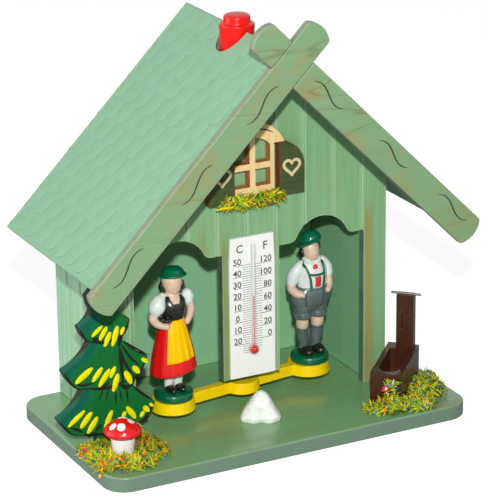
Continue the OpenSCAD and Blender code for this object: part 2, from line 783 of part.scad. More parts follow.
// Quartz pebble: a rounded three-cornered lump with a flat underside, turned to the front left
module white_stone() {
    foot_r = stone_h * 0.23;
    foot_z = foot_r * 0.6;
    reach = stone_l / 2 - foot_r;
    color("#f2f2ef") translate([stone_x, front_edge_y + stone_y, base_t])
    rotate([0, 0, stone_turn]) intersection() {
        hull() {
            translate([-reach, -0.8, foot_z]) sphere(foot_r, $fn = 24);
            translate([reach, 0.4, foot_z]) sphere(foot_r, $fn = 24);
            translate([0, -1.5, foot_z]) sphere(foot_r, $fn = 24);
            translate([0.4, 2.2, foot_z]) sphere(foot_r, $fn = 24);
            translate([-stone_l * 0.2, 0, stone_h * 0.43]) sphere(foot_r, $fn = 24);
            translate([0.2, 0, stone_h - foot_r]) sphere(foot_r, $fn = 24);
        }
        translate([-stone_l, -stone_l, 0]) cube([2 * stone_l, 2 * stone_l, 2 * stone_h]);
    }
}

// Trough drawn along its own axes: X across its front, Y along its length
module at_trough() {
    translate([house_w / 2 - trough_x, wall_y - trough_y, base_t]) rotate([0, 0, -45]) children();
}

post_x = trough_w / 2 + post_shift;
post_y = trough_l - trough_rear - post_d;
pin_z = post_h + pin_r / 4;
socket_z = trough_floor / 2;
basin_l = post_y - trough_lip;
basin_w = trough_w - 2 * trough_wall;

// Height of the trough's sloping top at a distance from its front
function trough_top(y) = trough_front_h + (trough_back_h - trough_front_h) * y / trough_l;

module water_trough() {
    color("#54322c") at_trough() difference() {
        rotate([90, 0, 90]) linear_extrude(trough_w)
            polygon([[0, 0], [trough_l, 0], [trough_l, trough_back_h], [0, trough_front_h]]);
        translate([trough_w / 2, trough_lip, trough_floor]) {
            translate([-basin_w / 2, basin_w / 2, 0]) cube([basin_w, basin_l - basin_w / 2, trough_back_h]);
            translate([0, basin_w / 2, 0]) cylinder(r = basin_w / 2, h = trough_back_h);
        }
        translate([post_x - post_w / 2 - post_clear, post_y - post_clear, socket_z])
            cube([post_w + 2 * post_clear, post_d + 2 * post_clear, trough_back_h]);
    }
}

module well_post() {
    recess_z = post_h - recess_drop - recess_h + recess_w / 2;
    slot_h = recess_h - recess_w;
    recess_depth = 1.2;
    color("#4b2b26") at_trough() translate([post_x, post_y, 0]) difference() {
        translate([-post_w / 2, 0, socket_z]) cube([post_w, post_d, post_h - socket_z]);
        translate([0, -eps, recess_z]) rotate([-90, 0, 0]) {
            translate([-recess_w / 2, -slot_h, 0]) cube([recess_w, slot_h, recess_depth]);
            for (z = [0, slot_h]) translate([0, -z, 0]) cylinder(r = recess_w / 2, h = recess_depth);
        }
        translate([-post_w, post_d / 2, pin_z]) rotate([0, 90, 0]) cylinder(r = pin_r, h = 2 * post_w);
    }
}

module post_pin() {
    color("#8d8a86") at_trough() translate([post_x - pin_l / 2, post_y + post_d / 2, pin_z])
        rotate([0, 90, 0]) cylinder(r = pin_r, h = pin_l);
}

// Heaps by the trough: place across and along it, then radius and height as shares of the usual ones
trough_heaps = [[0.75 * trough_w, -2, 0.95, 1.35], [trough_w + 5.1, 5.5, 1, 1.35],
    [trough_w + 5.2, 0.63 * trough_l, 1.15, 1.8]];

// Ball whose cap stands out of the base with a given radius and height
module cap_ball(r, h) {
    ball_r = (r * r + h * h) / (2 * h);
    translate([0, 0, h - ball_r]) sphere(ball_r);
}

// Flowers heaped against the front and the right side of the trough
module trough_flowers() {
    gap = 0.1;
    color("#a8b420") at_trough() difference() {
        for (heap = trough_heaps) translate([heap[0], heap[1], 0])
            cap_ball(heap_r * heap[2], patch_h * heap[3]);
        translate([-gap, -gap, -eps]) cube([trough_w + 2 * gap, trough_l + 2 * gap, trough_back_h]);
        translate([-base_w, -base_w, -base_w]) cube([2 * base_w, 2 * base_w, base_w]);
    }
}

base_plate();
front_wall();
left_side_wall();
right_side_wall();
back_wall();
roof_left();
roof_right();
barge_board_left();
barge_board_right();
hanger_block();
chimney_knob();
gut_string();
figure_beam();
woman_figure();
man_figure();
thermometer_card();
thermometer_tube();
thermometer_spirit();
window_frame();
left_shutter();
right_shutter();
window_flowers();
fir_tree();
mushroom_stem();
mushroom_cap();
mushroom_flowers();
white_stone();
water_trough();
well_post();
post_pin();
trough_flowers();
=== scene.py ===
import random
from math import atan2, copysign, cos, degrees, exp, hypot, pi, radians, sin, sqrt

import bmesh
import bpy
from mathutils import Matrix, Vector, noise


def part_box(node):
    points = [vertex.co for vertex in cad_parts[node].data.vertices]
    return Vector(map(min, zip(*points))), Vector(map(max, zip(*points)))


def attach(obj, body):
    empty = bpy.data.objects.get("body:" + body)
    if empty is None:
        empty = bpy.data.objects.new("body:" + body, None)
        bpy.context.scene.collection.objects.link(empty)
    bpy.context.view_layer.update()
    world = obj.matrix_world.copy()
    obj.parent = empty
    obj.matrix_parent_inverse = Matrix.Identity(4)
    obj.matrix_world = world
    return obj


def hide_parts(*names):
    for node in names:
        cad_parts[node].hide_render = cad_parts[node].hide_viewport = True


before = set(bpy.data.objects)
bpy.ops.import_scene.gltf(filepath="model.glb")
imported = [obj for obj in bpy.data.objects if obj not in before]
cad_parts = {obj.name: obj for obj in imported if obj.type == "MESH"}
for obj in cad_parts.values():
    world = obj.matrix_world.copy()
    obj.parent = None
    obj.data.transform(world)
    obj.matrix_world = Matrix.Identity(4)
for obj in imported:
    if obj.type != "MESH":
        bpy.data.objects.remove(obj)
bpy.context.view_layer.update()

MM = 0.001
TURN = 2 * pi
SIN45 = sqrt(0.5)


def box_mm(node):
    """A CAD node's box in millimetres."""
    low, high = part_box(node)
    return low / MM, high / MM


# Places that the pieces below are set by
board_face = box_mm("barge_board_left")[0].y
window_face = box_mm("window_frame")[0].y
stand_z = box_mm("figure_beam")[1].z
roof_low, roof_high = box_mm("roof_left")
card_low, card_high = box_mm("thermometer_card")
spirit_low, spirit_high = box_mm("thermometer_spirit")
sill_low, sill_high = box_mm("window_flowers")
fir_low, fir_high = box_mm("fir_tree")
knob_low, knob_high = box_mm("chimney_knob")
gut_low, gut_high = box_mm("gut_string")
stone_low, stone_high = box_mm("white_stone")
cap_low, cap_high = box_mm("mushroom_cap")
stem_low, stem_high = box_mm("mushroom_stem")
base_low, base_high = box_mm("base_plate")
base_top = base_high.z
axis_y = (knob_low.y + knob_high.y) / 2


# Colours and shader nodes


def linear(code):
    """An sRGB hex code as the linear colour that the shaders work in."""
    parts = [int(code[i:i + 2], 16) / 255 for i in (1, 3, 5)]
    return (*(c / 12.92 if c <= 0.04045 else ((c + 0.055) / 1.055) ** 2.4 for c in parts), 1.0)


def add(tree, kind, inputs=None, socket=0, **settings):
    """Adds a shader node with its settings and gives one of its outputs. An input is linked if a socket is given,
    or else set."""
    node = tree.nodes.new("ShaderNode" + kind)
    for key, value in settings.items():
        setattr(node, key, value)
    for key, value in (inputs or {}).items():
        if isinstance(value, bpy.types.NodeSocket):
            tree.links.new(value, node.inputs[key])
        else:
            node.inputs[key].default_value = value
    return node.outputs[socket]


def new_finish(name, **values):
    """A material, its node tree and the place of each point on the piece in metres."""
    made = bpy.data.materials.new(name)
    made.use_nodes = True
    tree = made.node_tree
    for key, value in values.items():
        tree.nodes["Principled BSDF"].inputs[key.replace("_", " ")].default_value = value
    return made, tree, add(tree, "TexCoord", socket="Object")


def shaded(made, **sockets):
    """Links sockets to the shader of a material, and gives the material."""
    for key, socket in sockets.items():
        made.node_tree.links.new(socket, made.node_tree.nodes["Principled BSDF"].inputs[key.replace("_", " ")])
    return made


# Euler turns that lay a wood's grain along the piece
UPRIGHT = (0.0, 0.0, 0.0)
ALONG_X = (0.0, radians(90), 0.0)


def stained_wood(name, stain, pale, dark, bare, turn=UPRIGHT, worn=0.4, streaky=0.6, edge="#9fc0a0", rubbed=0.4,
                 rough=0.5, shine=0.25, painted_shade=0.4, lined=False, sawn=None, sawn_axis="Y", sawn_range=(0.7, 0.4),
                 sawn_to=None, bands=(), grooves=None):
    """Green stain on spruce. Soft streaks follow the grain, which lies along Z after the turn. Brown wood shows
    where the stain is thin, grooves and inner corners are darkened as painted shade, the sharp edges are rubbed
    pale, and pale lines at plank grooves may be painted as highlights."""
    made, tree, place = new_finish(name, Roughness=rough, IOR=1.48, Specular_IOR_Level=shine)
    along = add(tree, "Mapping", {"Vector": place, "Rotation": turn})
    # Streaks about 3 mm wide, and the grain in them. Grain of 0.4 mm is drawn 0.9 mm wide so that it shows
    broad = add(tree, "Mapping", {"Vector": along, "Scale": (330, 330, 11)})
    broad = add(tree, "TexNoise", {"Vector": broad, "Scale": 1.0, "Detail": 3.0, "Roughness": 0.55})
    broad = add(tree, "MapRange", {0: broad, 1: 0.3, 2: 0.7, 4: 0.65 * streaky})
    grain = add(tree, "Mapping", {"Vector": along, "Scale": (1100, 1100, 28)})
    grain = add(tree, "TexNoise", {"Vector": grain, "Scale": 1.0, "Detail": 3.0, "Roughness": 0.6})
    fine = add(tree, "MapRange", {0: grain, 1: 0.35, 2: 0.65, 4: 0.35 * streaky})
    streak = add(tree, "Math", {0: broad, 1: fine}, operation="ADD")
    colour = add(tree, "Mix", {0: streak, 6: linear(stain), 7: linear(pale)}, 2, data_type="RGBA")
    # Darker lengths of grain, about 2 mm apart
    pores = add(tree, "Mapping", {"Vector": along, "Scale": (520, 520, 16), "Location": (3.7, 1.2, 8.1)})
    pores = add(tree, "TexNoise", {"Vector": pores, "Scale": 1.0, "Detail": 4.0, "Roughness": 0.65})
    pores = add(tree, "MapRange", {0: pores, 1: 0.55, 2: 0.75, 4: 0.6 * streaky})
    colour = add(tree, "Mix", {0: pores, 6: colour, 7: linear(dark)}, 2, data_type="RGBA")
    # Patches of 15 to 40 mm where the stain is thin
    thin = add(tree, "Mapping", {"Vector": along, "Scale": (60, 60, 22)})
    thin = add(tree, "TexNoise", {"Vector": thin, "Scale": 1.0, "Detail": 4.0, "Roughness": 0.6})
    thin = add(tree, "MapRange", {0: thin, 1: 0.52, 2: 0.72, 4: worn})
    colour = add(tree, "Mix", {0: thin, 6: colour, 7: linear(bare)}, 2, data_type="RGBA")
    if lined:
        # Brown growth lines across the piece, 0.4 mm thick and 6 to 12 mm apart, with a warm shade beside them
        rings = add(tree, "Mapping", {"Vector": place, "Scale": (11, 11, 95), "Rotation": (0.0, 0.12, 0.0)})
        rings = add(tree, "TexNoise", {"Vector": rings, "Scale": 1.0, "Detail": 1.5, "Roughness": 0.4})
        off = add(tree, "Math", {0: rings, 1: 0.5}, operation="SUBTRACT")
        off = add(tree, "Math", {0: off}, operation="ABSOLUTE")
        warm = add(tree, "MapRange", {0: off, 1: 0.06, 2: 0.0, 4: 0.4})
        warm = add(tree, "Math", {0: warm, 1: thin}, operation="MULTIPLY")
        colour = add(tree, "Mix", {0: warm, 6: colour, 7: linear("#b0844a")}, 2, data_type="RGBA")
        # Rusty blotches of 5 to 12 mm where the resin came through
        rust = add(tree, "TexNoise", {"Vector": place, "Scale": 105.0, "Detail": 4.0, "Roughness": 0.6})
        rust = add(tree, "MapRange", {0: rust, 1: 0.52, 2: 0.74, 4: 0.7})
        colour = add(tree, "Mix", {0: rust, 6: colour, 7: linear("#ad8a52")}, 2, data_type="RGBA")
        line = add(tree, "MapRange", {0: off, 1: 0.009, 2: 0.003, 4: 0.38})
        colour = add(tree, "Mix", {0: line, 6: colour, 7: linear("#7a6a3c")}, 2, data_type="RGBA")
    axes = add(tree, "SeparateXYZ", {0: place}).node.outputs
    for centre, half, top, amount, shade in bands:
        # Upright strip rubbed down to the wood, given in millimetres
        off = add(tree, "Math", {0: axes["X"], 1: centre * MM}, operation="SUBTRACT")
        off = add(tree, "Math", {0: off}, operation="ABSOLUTE")
        strip = add(tree, "MapRange", {0: off, 1: half * MM, 2: 0.35 * half * MM, 4: amount})
        below = add(tree, "MapRange", {0: axes["Z"], 1: top * MM, 2: (top - 9) * MM})
        strip = add(tree, "Math", {0: strip, 1: below}, operation="MULTIPLY")
        torn = add(tree, "MapRange", {0: broad, 1: 0.1 * streaky, 2: 0.5 * streaky, 3: 0.6, 4: 1.0})
        strip = add(tree, "Math", {0: strip, 1: torn}, operation="MULTIPLY")
        colour = add(tree, "Mix", {0: strip, 6: colour, 7: linear(shade)}, 2, data_type="RGBA")
    normal = add(tree, "NewGeometry", socket="Normal")
    if sawn:
        # Sawn ends and cut sides, told by the way they face
        facing = add(tree, "SeparateXYZ", {0: normal}, sawn_axis)
        facing = add(tree, "Math", {0: facing}, operation="ABSOLUTE")
        cut = add(tree, "MapRange", {0: facing, 1: sawn_range[0], 2: sawn_range[1], 4: 0.95})
        if sawn_to is not None:
            # The stain has run over the rear part of the cut side
            front = add(tree, "MapRange", {0: axes["Y"], 1: (sawn_to + 0.3) * MM, 2: (sawn_to - 0.3) * MM})
            cut = add(tree, "Math", {0: cut, 1: front}, operation="MULTIPLY")
        smudge = add(tree, "TexNoise", {"Vector": place, "Scale": 130.0, "Detail": 4.0, "Roughness": 0.6})
        smudge = add(tree, "MapRange", {0: smudge, 1: 0.45, 2: 0.75, 4: 0.65})
        shade = add(tree, "Mix", {0: smudge, 6: linear(sawn), 7: linear(dark)}, 2, data_type="RGBA")
        colour = add(tree, "Mix", {0: cut, 6: colour, 7: shade}, 2, data_type="RGBA")
    if grooves:
        # Painted highlight: a pale line about 1 mm wide at the right edge of each plank groove, where its side
        # catches the light
        first, pitch = grooves
        off = add(tree, "Math", {0: axes["X"], 1: (first + pitch / 2) * MM, 2: (first - pitch / 2) * MM},
                  operation="WRAP")
        off = add(tree, "Math", {0: off, 1: first * MM}, operation="SUBTRACT")
        off = add(tree, "Math", {0: off}, operation="ABSOLUTE")
        light = add(tree, "MapRange", {0: off, 1: 0.75 * MM, 2: 0.35 * MM, 4: 0.6})
        colour = add(tree, "Mix", {0: light, 6: colour, 7: linear(edge)}, 2, data_type="RGBA")
    # Edges within about 1 mm of a corner
    corner = add(tree, "Bevel", {"Radius": 0.8 * MM}, samples=4)
    corner = add(tree, "VectorMath", {0: corner, 1: normal}, "Value", operation="DOT_PRODUCT")
    corner = add(tree, "MapRange", {0: corner, 1: 0.995, 2: 0.88, 4: rubbed})
    colour = add(tree, "Mix", {0: corner, 6: colour, 7: linear(edge)}, 2, data_type="RGBA")
    # Painted shade: grooves and inner corners within 1 mm, found by ambient occlusion, are darkened to a deep green
    painted_shade_mask = add(tree, "AmbientOcclusion", {"Distance": 1.0 * MM}, "AO", samples=8)
    painted_shade_mask = add(tree, "MapRange", {0: painted_shade_mask, 1: 0.9, 2: 0.4, 4: painted_shade})
    colour = add(tree, "Mix", {0: painted_shade_mask, 6: colour, 7: linear("#35482f")}, 2, data_type="RGBA")
    ridge = add(tree, "Bump", {"Strength": 0.25, "Distance": 0.08 * MM, "Height": grain})
    uneven = add(tree, "MapRange", {0: thin, 1: 0.0, 2: 0.6, 3: rough - 0.04, 4: rough + 0.12})
    return shaded(made, Base_Color=colour, Normal=ridge, Roughness=uneven)


def cut_plywood(name, face, pale, burnt, turn, grain):
    """Thin plywood cut by a hot beam: a plain grained face, with sides scorched brown in bands of about 2 mm."""
    made, tree, place = new_finish(name, Roughness=0.5, IOR=1.5, Specular_IOR_Level=0.25)
    streak = add(tree, "Mapping", {"Vector": place, "Rotation": turn})
    streak = add(tree, "Mapping", {"Vector": streak, "Scale": (900, 900, 45)})
    streak = add(tree, "TexNoise", {"Vector": streak, "Scale": 1.0, "Detail": 4.0, "Roughness": 0.65})
    streak = add(tree, "MapRange", {0: streak, 1: 0.35, 2: 0.68, 4: grain})
    colour = add(tree, "Mix", {0: streak, 6: linear(face), 7: linear(pale)}, 2, data_type="RGBA")
    forward = add(tree, "SeparateXYZ", {0: add(tree, "NewGeometry", socket="Normal")}, "Y")
    side = add(tree, "MapRange", {0: forward, 1: -0.9, 2: -0.35})
    scorch = add(tree, "TexNoise", {"Vector": place, "Scale": 420.0, "Detail": 3.0})
    scorch = add(tree, "MapRange", {0: scorch, 1: 0.3, 2: 0.7, 3: 0.75, 4: 1.0})
    side = add(tree, "Math", {0: side, 1: scorch}, operation="MULTIPLY")
    colour = add(tree, "Mix", {0: side, 6: colour, 7: linear(burnt)}, 2, data_type="RGBA")
    ridge = add(tree, "Bump", {"Strength": 0.25, "Distance": 0.06 * MM, "Height": streak})
    return shaded(made, Base_Color=colour, Normal=ridge)


def paint(name, colour, thin, rough=0.32, uneven=0.35, shine=0.5, bump=0.05, sides=None):
    """Brushed paint. It is a little thinner and duller in places about 2 mm across, with faint brush relief. A flat
    board may have another colour on its sides."""
    made, tree, place = new_finish(name, Roughness=rough, IOR=1.5, Specular_IOR_Level=shine)
    blot = add(tree, "TexNoise", {"Vector": place, "Scale": 480.0, "Detail": 4.0, "Roughness": 0.6})
    film = add(tree, "MapRange", {0: blot, 1: 0.42, 2: 0.72, 4: uneven})
    shade = add(tree, "Mix", {0: film, 6: linear(colour), 7: linear(thin)}, 2, data_type="RGBA")
    if sides:
        forward = add(tree, "SeparateXYZ", {0: add(tree, "NewGeometry", socket="Normal")}, "Y")
        side = add(tree, "MapRange", {0: forward, 1: -0.9, 2: -0.4})
        shade = add(tree, "Mix", {0: side, 6: shade, 7: linear(sides)}, 2, data_type="RGBA")
    dull = add(tree, "MapRange", {0: blot, 1: 0.3, 2: 0.7, 3: rough - 0.05, 4: rough + 0.1})
    wave = add(tree, "TexNoise", {"Vector": place, "Scale": 900.0, "Detail": 2.0})
    relief = add(tree, "Bump", {"Strength": 0.4, "Distance": bump * MM, "Height": wave})
    return shaded(made, Base_Color=shade, Roughness=dull, Normal=relief)


def moulded(name, colour, deep, rough, glow):
    """Injection-moulded polystyrene: an even colour, slightly deeper where the melt flowed, a soft ripple in
    the gloss and some light let into the plastic."""
    made, tree, place = new_finish(name, Roughness=rough, IOR=1.59, Specular_IOR_Level=0.25, Subsurface_Weight=glow,
                                   Subsurface_Scale=1.2 * MM, Subsurface_Radius=(1.0, 0.6, 0.4))
    flow = add(tree, "TexNoise", {"Vector": place, "Scale": 110.0, "Detail": 3.0, "Distortion": 0.8})
    flow = add(tree, "MapRange", {0: flow, 1: 0.4, 2: 0.75, 4: 0.6})
    shade = add(tree, "Mix", {0: flow, 6: linear(colour), 7: linear(deep)}, 2, data_type="RGBA")
    ripple = add(tree, "TexNoise", {"Vector": place, "Scale": 520.0, "Detail": 1.0})
    relief = add(tree, "Bump", {"Strength": 0.3, "Distance": 0.05 * MM, "Height": ripple})
    gloss = add(tree, "MapRange", {0: ripple, 1: 0.3, 2: 0.7, 3: rough - 0.06, 4: rough + 0.1})
    return shaded(made, Base_Color=shade, Roughness=gloss, Normal=relief)


def dyed_spirit(name, deep, bright):
    """Red dyed spirit: even and wet-looking, paler where it is a thin thread that light passes."""
    made, tree, place = new_finish(name, Roughness=0.12, IOR=1.36)
    depth = add(tree, "TexNoise", {"Vector": place, "Scale": 300.0, "Detail": 2.0})
    shade = add(tree, "Mix", {0: depth, 6: linear(deep), 7: linear(bright)}, 2, data_type="RGBA")
    return shaded(made, Base_Color=shade)


def printed_card():
    """White coated card, faintly mottled as paper fibres lie, with a soft shine."""
    made, tree, place = new_finish("white coated card", Roughness=0.4, IOR=1.5)
    fibre = add(tree, "TexNoise", {"Vector": place, "Scale": 600.0, "Detail": 5.0, "Roughness": 0.7})
    fibre = add(tree, "MapRange", {0: fibre, 1: 0.3, 2: 0.75})
    shade = add(tree, "Mix", {0: fibre, 6: linear("#fdfdf9"), 7: linear("#f3f5ef")}, 2, data_type="RGBA")
    relief = add(tree, "Bump", {"Strength": 0.15, "Distance": 0.03 * MM, "Height": fibre})
    return shaded(made, Base_Color=shade, Normal=relief)


def twisted_gut():
    """Dried gut: amber, half clear, with its twist showing as slanting bands about 2 mm apart."""
    made, tree, place = new_finish("dried twisted gut", Roughness=0.4, IOR=1.5)
    twist = add(tree, "TexWave", {"Vector": place, "Scale": 160.0, "Distortion": 1.5}, 1, bands_direction="DIAGONAL")
    shade = add(tree, "Mix", {0: twist, 6: linear("#d8c493"), 7: linear("#b99a5c")}, 2, data_type="RGBA")
    relief = add(tree, "Bump", {"Strength": 0.5, "Distance": 0.1 * MM, "Height": twist})
    return shaded(made, Base_Color=shade, Normal=relief)


def quartz_pebble():
    """Tumbled milky quartz: bright white, slightly see-through, with grey veins 2 to 4 mm apart and fine pits."""
    made, tree, place = new_finish("tumbled milky quartz", Roughness=0.45, IOR=1.54, Subsurface_Weight=0.25,
                                   Subsurface_Scale=1.5 * MM)
    vein = add(tree, "TexNoise", {"Vector": place, "Scale": 260.0, "Detail": 6.0, "Roughness": 0.7,
                                  "Distortion": 1.2})
    vein = add(tree, "MapRange", {0: vein, 1: 0.48, 2: 0.75, 4: 0.7})
    shade = add(tree, "Mix", {0: vein, 6: linear("#f4f6f1"), 7: linear("#dde1d8")}, 2, data_type="RGBA")
    pits = add(tree, "TexNoise", {"Vector": place, "Scale": 1400.0, "Detail": 3.0})
    relief = add(tree, "Bump", {"Strength": 0.35, "Distance": 0.08 * MM, "Height": pits})
    return shaded(made, Base_Color=shade, Normal=relief)


def drawn_wire():
    """Plain steel wire: grey and bright, with fine drawing lines along it."""
    made, tree, place = new_finish("plain drawn steel wire", Roughness=0.32, Metallic=1.0)
    line = add(tree, "Mapping", {"Vector": place, "Scale": (700, 700, 3000)})
    line = add(tree, "TexNoise", {"Vector": line, "Scale": 1.0, "Detail": 2.0})
    shade = add(tree, "Mix", {0: line, 6: linear("#b4b2ae"), 7: linear("#8d8b88")}, 2, data_type="RGBA")
    return shaded(made, Base_Color=shade, Roughness=add(tree, "MapRange", {0: line, 3: 0.24, 4: 0.42}))


def clear_glass():
    """Drawn glass tube with a thin wall: what is behind it shows straight through, under a mirror sheen that grows
    towards its sides. Faint drawing waves run along it."""
    made, tree, place = new_finish("clear drawn glass")
    tree.nodes.remove(tree.nodes["Principled BSDF"])
    wave = add(tree, "Mapping", {"Vector": place, "Scale": (900, 900, 60)})
    wave = add(tree, "TexNoise", {"Vector": wave, "Scale": 1.0, "Detail": 1.0})
    relief = add(tree, "Bump", {"Strength": 0.1, "Distance": 0.02 * MM, "Height": wave})
    tint = add(tree, "Mix", {0: wave, 6: linear("#ffffff"), 7: linear("#fdfefe")}, 2, data_type="RGBA")
    through = add(tree, "BsdfTransparent", {"Color": tint})
    sheen = add(tree, "BsdfGlossy", {"Roughness": 0.05, "Normal": relief})
    share = add(tree, "Fresnel", {"IOR": 1.47, "Normal": relief})
    # Light meets four walls of the tube in a row, so each has a quarter of the sheen
    share = add(tree, "Math", {0: share, 1: 0.25}, operation="MULTIPLY")
    both = add(tree, "MixShader", {0: share, 1: through, 2: sheen})
    tree.links.new(both, tree.nodes["Material Output"].inputs["Surface"])
    return made


# Finishes

# Stained spruce, satin: streaked green, brown where it is rubbed, with dull grey green cuts. Its pale edges are
# partly wear and partly painted highlight, and pale lines beside the plank grooves are painted highlights
wall_wood = stained_wood("green stained spruce wall", "#7ba97a", "#8eb78a", "#5f8b60", "#8b9655", worn=0.45,
                         streaky=0.9, edge="#a9cca6", rubbed=0.7, sawn="#4a5c50", grooves=(-1.3, 11.4), painted_shade=0.12,
                         bands=((-9.7, 2.6, 74, 0.95, "#848446"), (10.0, 1.4, 74, 0.7, "#7e8440"),
                                (-19.2, 2.4, 79, 0.55, "#8d8f4e"), (47.1, 2.4, 76, 0.95, "#9c8e50"),
                                (-46.5, 1.6, 84, 0.45, "#7c8a48")))
# Painted light: the left side wall has the same stain made paler and bluer, for the light that falls on it from the
# left
lit_side_wood = stained_wood("paler painted green spruce side wall, as if lit", "#a4d6ae", "#b8e2c0", "#84ba93", "#a6ba7e", worn=0.35,
                         streaky=0.9, painted_shade=0.3)
# Painted light: the room has the same stain made paler, so that its inside looks as brightly lit as the front, and it
# is more even
lit_room_wood = stained_wood("paler painted green spruce room, as if lit", "#86bb8d", "#93c699", "#6a9d72", "#8ea56e", worn=0.2,
                         streaky=0.45, rubbed=0.2, rough=0.45)
# The base is varnished to a satin gloss, its edges greyer and smudged
base_wood = stained_wood("green varnished base", "#7dab78", "#8ab784", "#679463", "#86894a", ALONG_X, 0.5, 0.35,
                         "#a9bfae", 0.5, 0.27, shine=0.5, sawn="#71897a", sawn_axis="Z")
# The boards show brown growth lines, and their narrow sides are rubbed to a pinkish grey
board_wood = stained_wood("green stained gable board", "#80a479", "#8eb086", "#698e65", "#94925a", ALONG_X, 0.55, 0.5,
                          "#97b490", 0.5, lined=True, sawn="#a59b93", sawn_to=board_face + 1.7)
# Pressed roof shingles: the palest stain, hardly rubbed
shingle_wood = stained_wood("pale green stained shingles", "#8fbf9b", "#9bc9a5", "#86b592", "#98bb92",
                            edge="#a3ccae", rubbed=0.25, rough=0.42)
roof_wood = stained_wood("pale green stained roof panel", "#8fbf9b", "#9bc9a5", "#7fae8b", "#93a888",
                         edge="#a89e98", rubbed=0.5, rough=0.45, sawn="#a69d97", sawn_range=(0.6, 0.9))
# Scorched line burnt into the wood: brown black and matt
burnt_line = paint("scorched engraved line", "#2c3220", "#4a4a2c", 0.7, 0.5)
# Painted shade: a dimmer green on the step faces round each shingle, for the shade at its edge. A fainter stain
# lies in the pressed grain marks on some of them
shingle_step_shade = paint("dimmer green painted as shade on the shingle steps", "#719e7f", "#7ca989", 0.5, 0.5)
mark_stain = paint("stain settled in pressed grain marks", "#82b08d", "#8bb997", 0.5, 0.5)
# Bare plywood and beech, cream with a warm grain and scorched sides
window_ply = cut_plywood("bare birch plywood", "#eac684", "#f5deb0", "#a85a28", UPRIGHT, 0.8)
block_wood = cut_plywood("bare beech block", "#d9b078", "#e6c594", "#cfa268", ALONG_X, 0.7)
# Dark green stain on plywood, hardly any grain left to see
shutter_ply = cut_plywood("dark green stained plywood", "#3d4c2a", "#4f5a36", "#94482a", ALONG_X, 0.8)
# Bare wood showing in the engraved hearts
heart_wood = paint("bare engraved plywood", "#e0cc9c", "#c9ac72", 0.6, 0.5)
# Polystyrene mouldings, glossy and evenly coloured
red_plastic = moulded("red moulded polystyrene", "#f8160c", "#e40e08", 0.3, 0.15)
yellow_plastic = moulded("yellow moulded polystyrene", "#ffd900", "#fcc800", 0.24, 0.1)
brown_plastic = moulded("brown moulded polystyrene", "#4a2718", "#381a10", 0.24, 0.0)
# Matt poster paint on the fir, hardly shining, with brown bare wood at the fir's sides
fir_green = paint("green poster paint", "#096a2b", "#065f2f", 0.5, 0.7, 0.2, sides="#302c22")
fir_teal = paint("blue green shading paint", "#02604c", "#065e40", 0.5, 0.6, 0.2)
fir_blend = paint("green and blue green paint brushed together", "#076a40", "#066a36", 0.5, 0.7, 0.2)
fir_black = paint("black outline paint", "#141c10", "#1c2c18", 0.55, 0.5, 0.2)
stroke_yellow = paint("yellow brush strokes", "#f2ea00", "#e0d800", 0.5, 0.6, 0.2)
# Glossy enamel on the mushroom
cap_red = paint("red gloss cap enamel", "#e80c10", "#d80a10", 0.24, 0.4)
spot_white = paint("white dab enamel", "#fbfaf5", "#efece4", 0.35, 0.4)
stem_white = paint("white stem enamel", "#fffbf8", "#f9f2ee", 0.4, 0.5)
# Thin glossy enamel over the moulded figures, thinner in places at random
figure_paint = {
    key: paint(words + " enamel", *values) for key, words, *values in (
        ("skirt", "red figure", "#ea1414", "#d80f12", 0.28, 0.5),
        ("apron", "yellow figure", "#ffc800", "#f8ba00", 0.3, 0.5, 0.15),
        ("black", "black figure", "#1c1d16", "#2c2c22", 0.2, 0.5),
        ("white", "white figure", "#e3ebe5", "#ced9d2", 0.34, 0.7, 0.35),
        ("skin", "flesh figure", "#e0c2aa", "#d0ad94", 0.36, 0.6),
        ("foot", "green figure", "#006440", "#005236", 0.24, 0.5),
        ("hat", "dark green hat", "#006a48", "#005238", 0.16, 0.5),
        ("felt", "grey green hat", "#0e7252", "#0a5a40", 0.18, 0.6),
        ("brace", "green brace", "#0c6440", "#0a4c32", 0.32, 0.5),
        ("tie", "red tie", "#e43834", "#d02824", 0.3, 0.5),
        ("shorts", "grey shorts", "#606e6e", "#4a5757", 0.2, 0.6),
        ("socks", "grey sock", "#505f5d", "#6b7a77", 0.32, 0.6))}
# Dyed dried flakes, matt, each strand a little uneven, on a darker glued bed
flakes = {"bed": paint("glued moss bed", "#4c6a12", "#2f4a0c", 0.85, 0.9, 0.2, 0.3)}
for dye, bright, deep in (("yellow green", "#b0c22a", "#94aa1c"), ("leaf green", "#78a028", "#5c861e"),
                          ("yellow", "#f4dc10", "#e4c608"), ("orange", "#f09020", "#dc7414"),
                          ("red", "#e43a2c", "#c8281c"), ("blue", "#20789a", "#185c80"),
                          ("dark green", "#34601a", "#264a10")):
    flakes[dye] = paint(dye + " dyed flakes", bright, deep, 0.7, 0.8, 0.2)
# Printing ink, grey black and flat
ink = paint("grey black printing ink", "#3c403e", "#505452", 0.6, 0.4)
spirit_red = dyed_spirit("red dyed spirit", "#ea1622", "#e01020")
spirit_thread = dyed_spirit("thin thread of red dyed spirit", "#f07a7a", "#ee6668")
card_white = printed_card()
gut_amber = twisted_gut()
quartz_white = quartz_pebble()
steel_wire = drawn_wire()
tube_glass = clear_glass()


# Shapes in millimetres


def settle(made, slot, node, body):
    """Puts a piece into the scene on its body. Its slot is not used. It may stand for a CAD node."""
    bpy.context.scene.collection.objects.link(made)
    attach(made, body)
    if node:
        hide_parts(node)


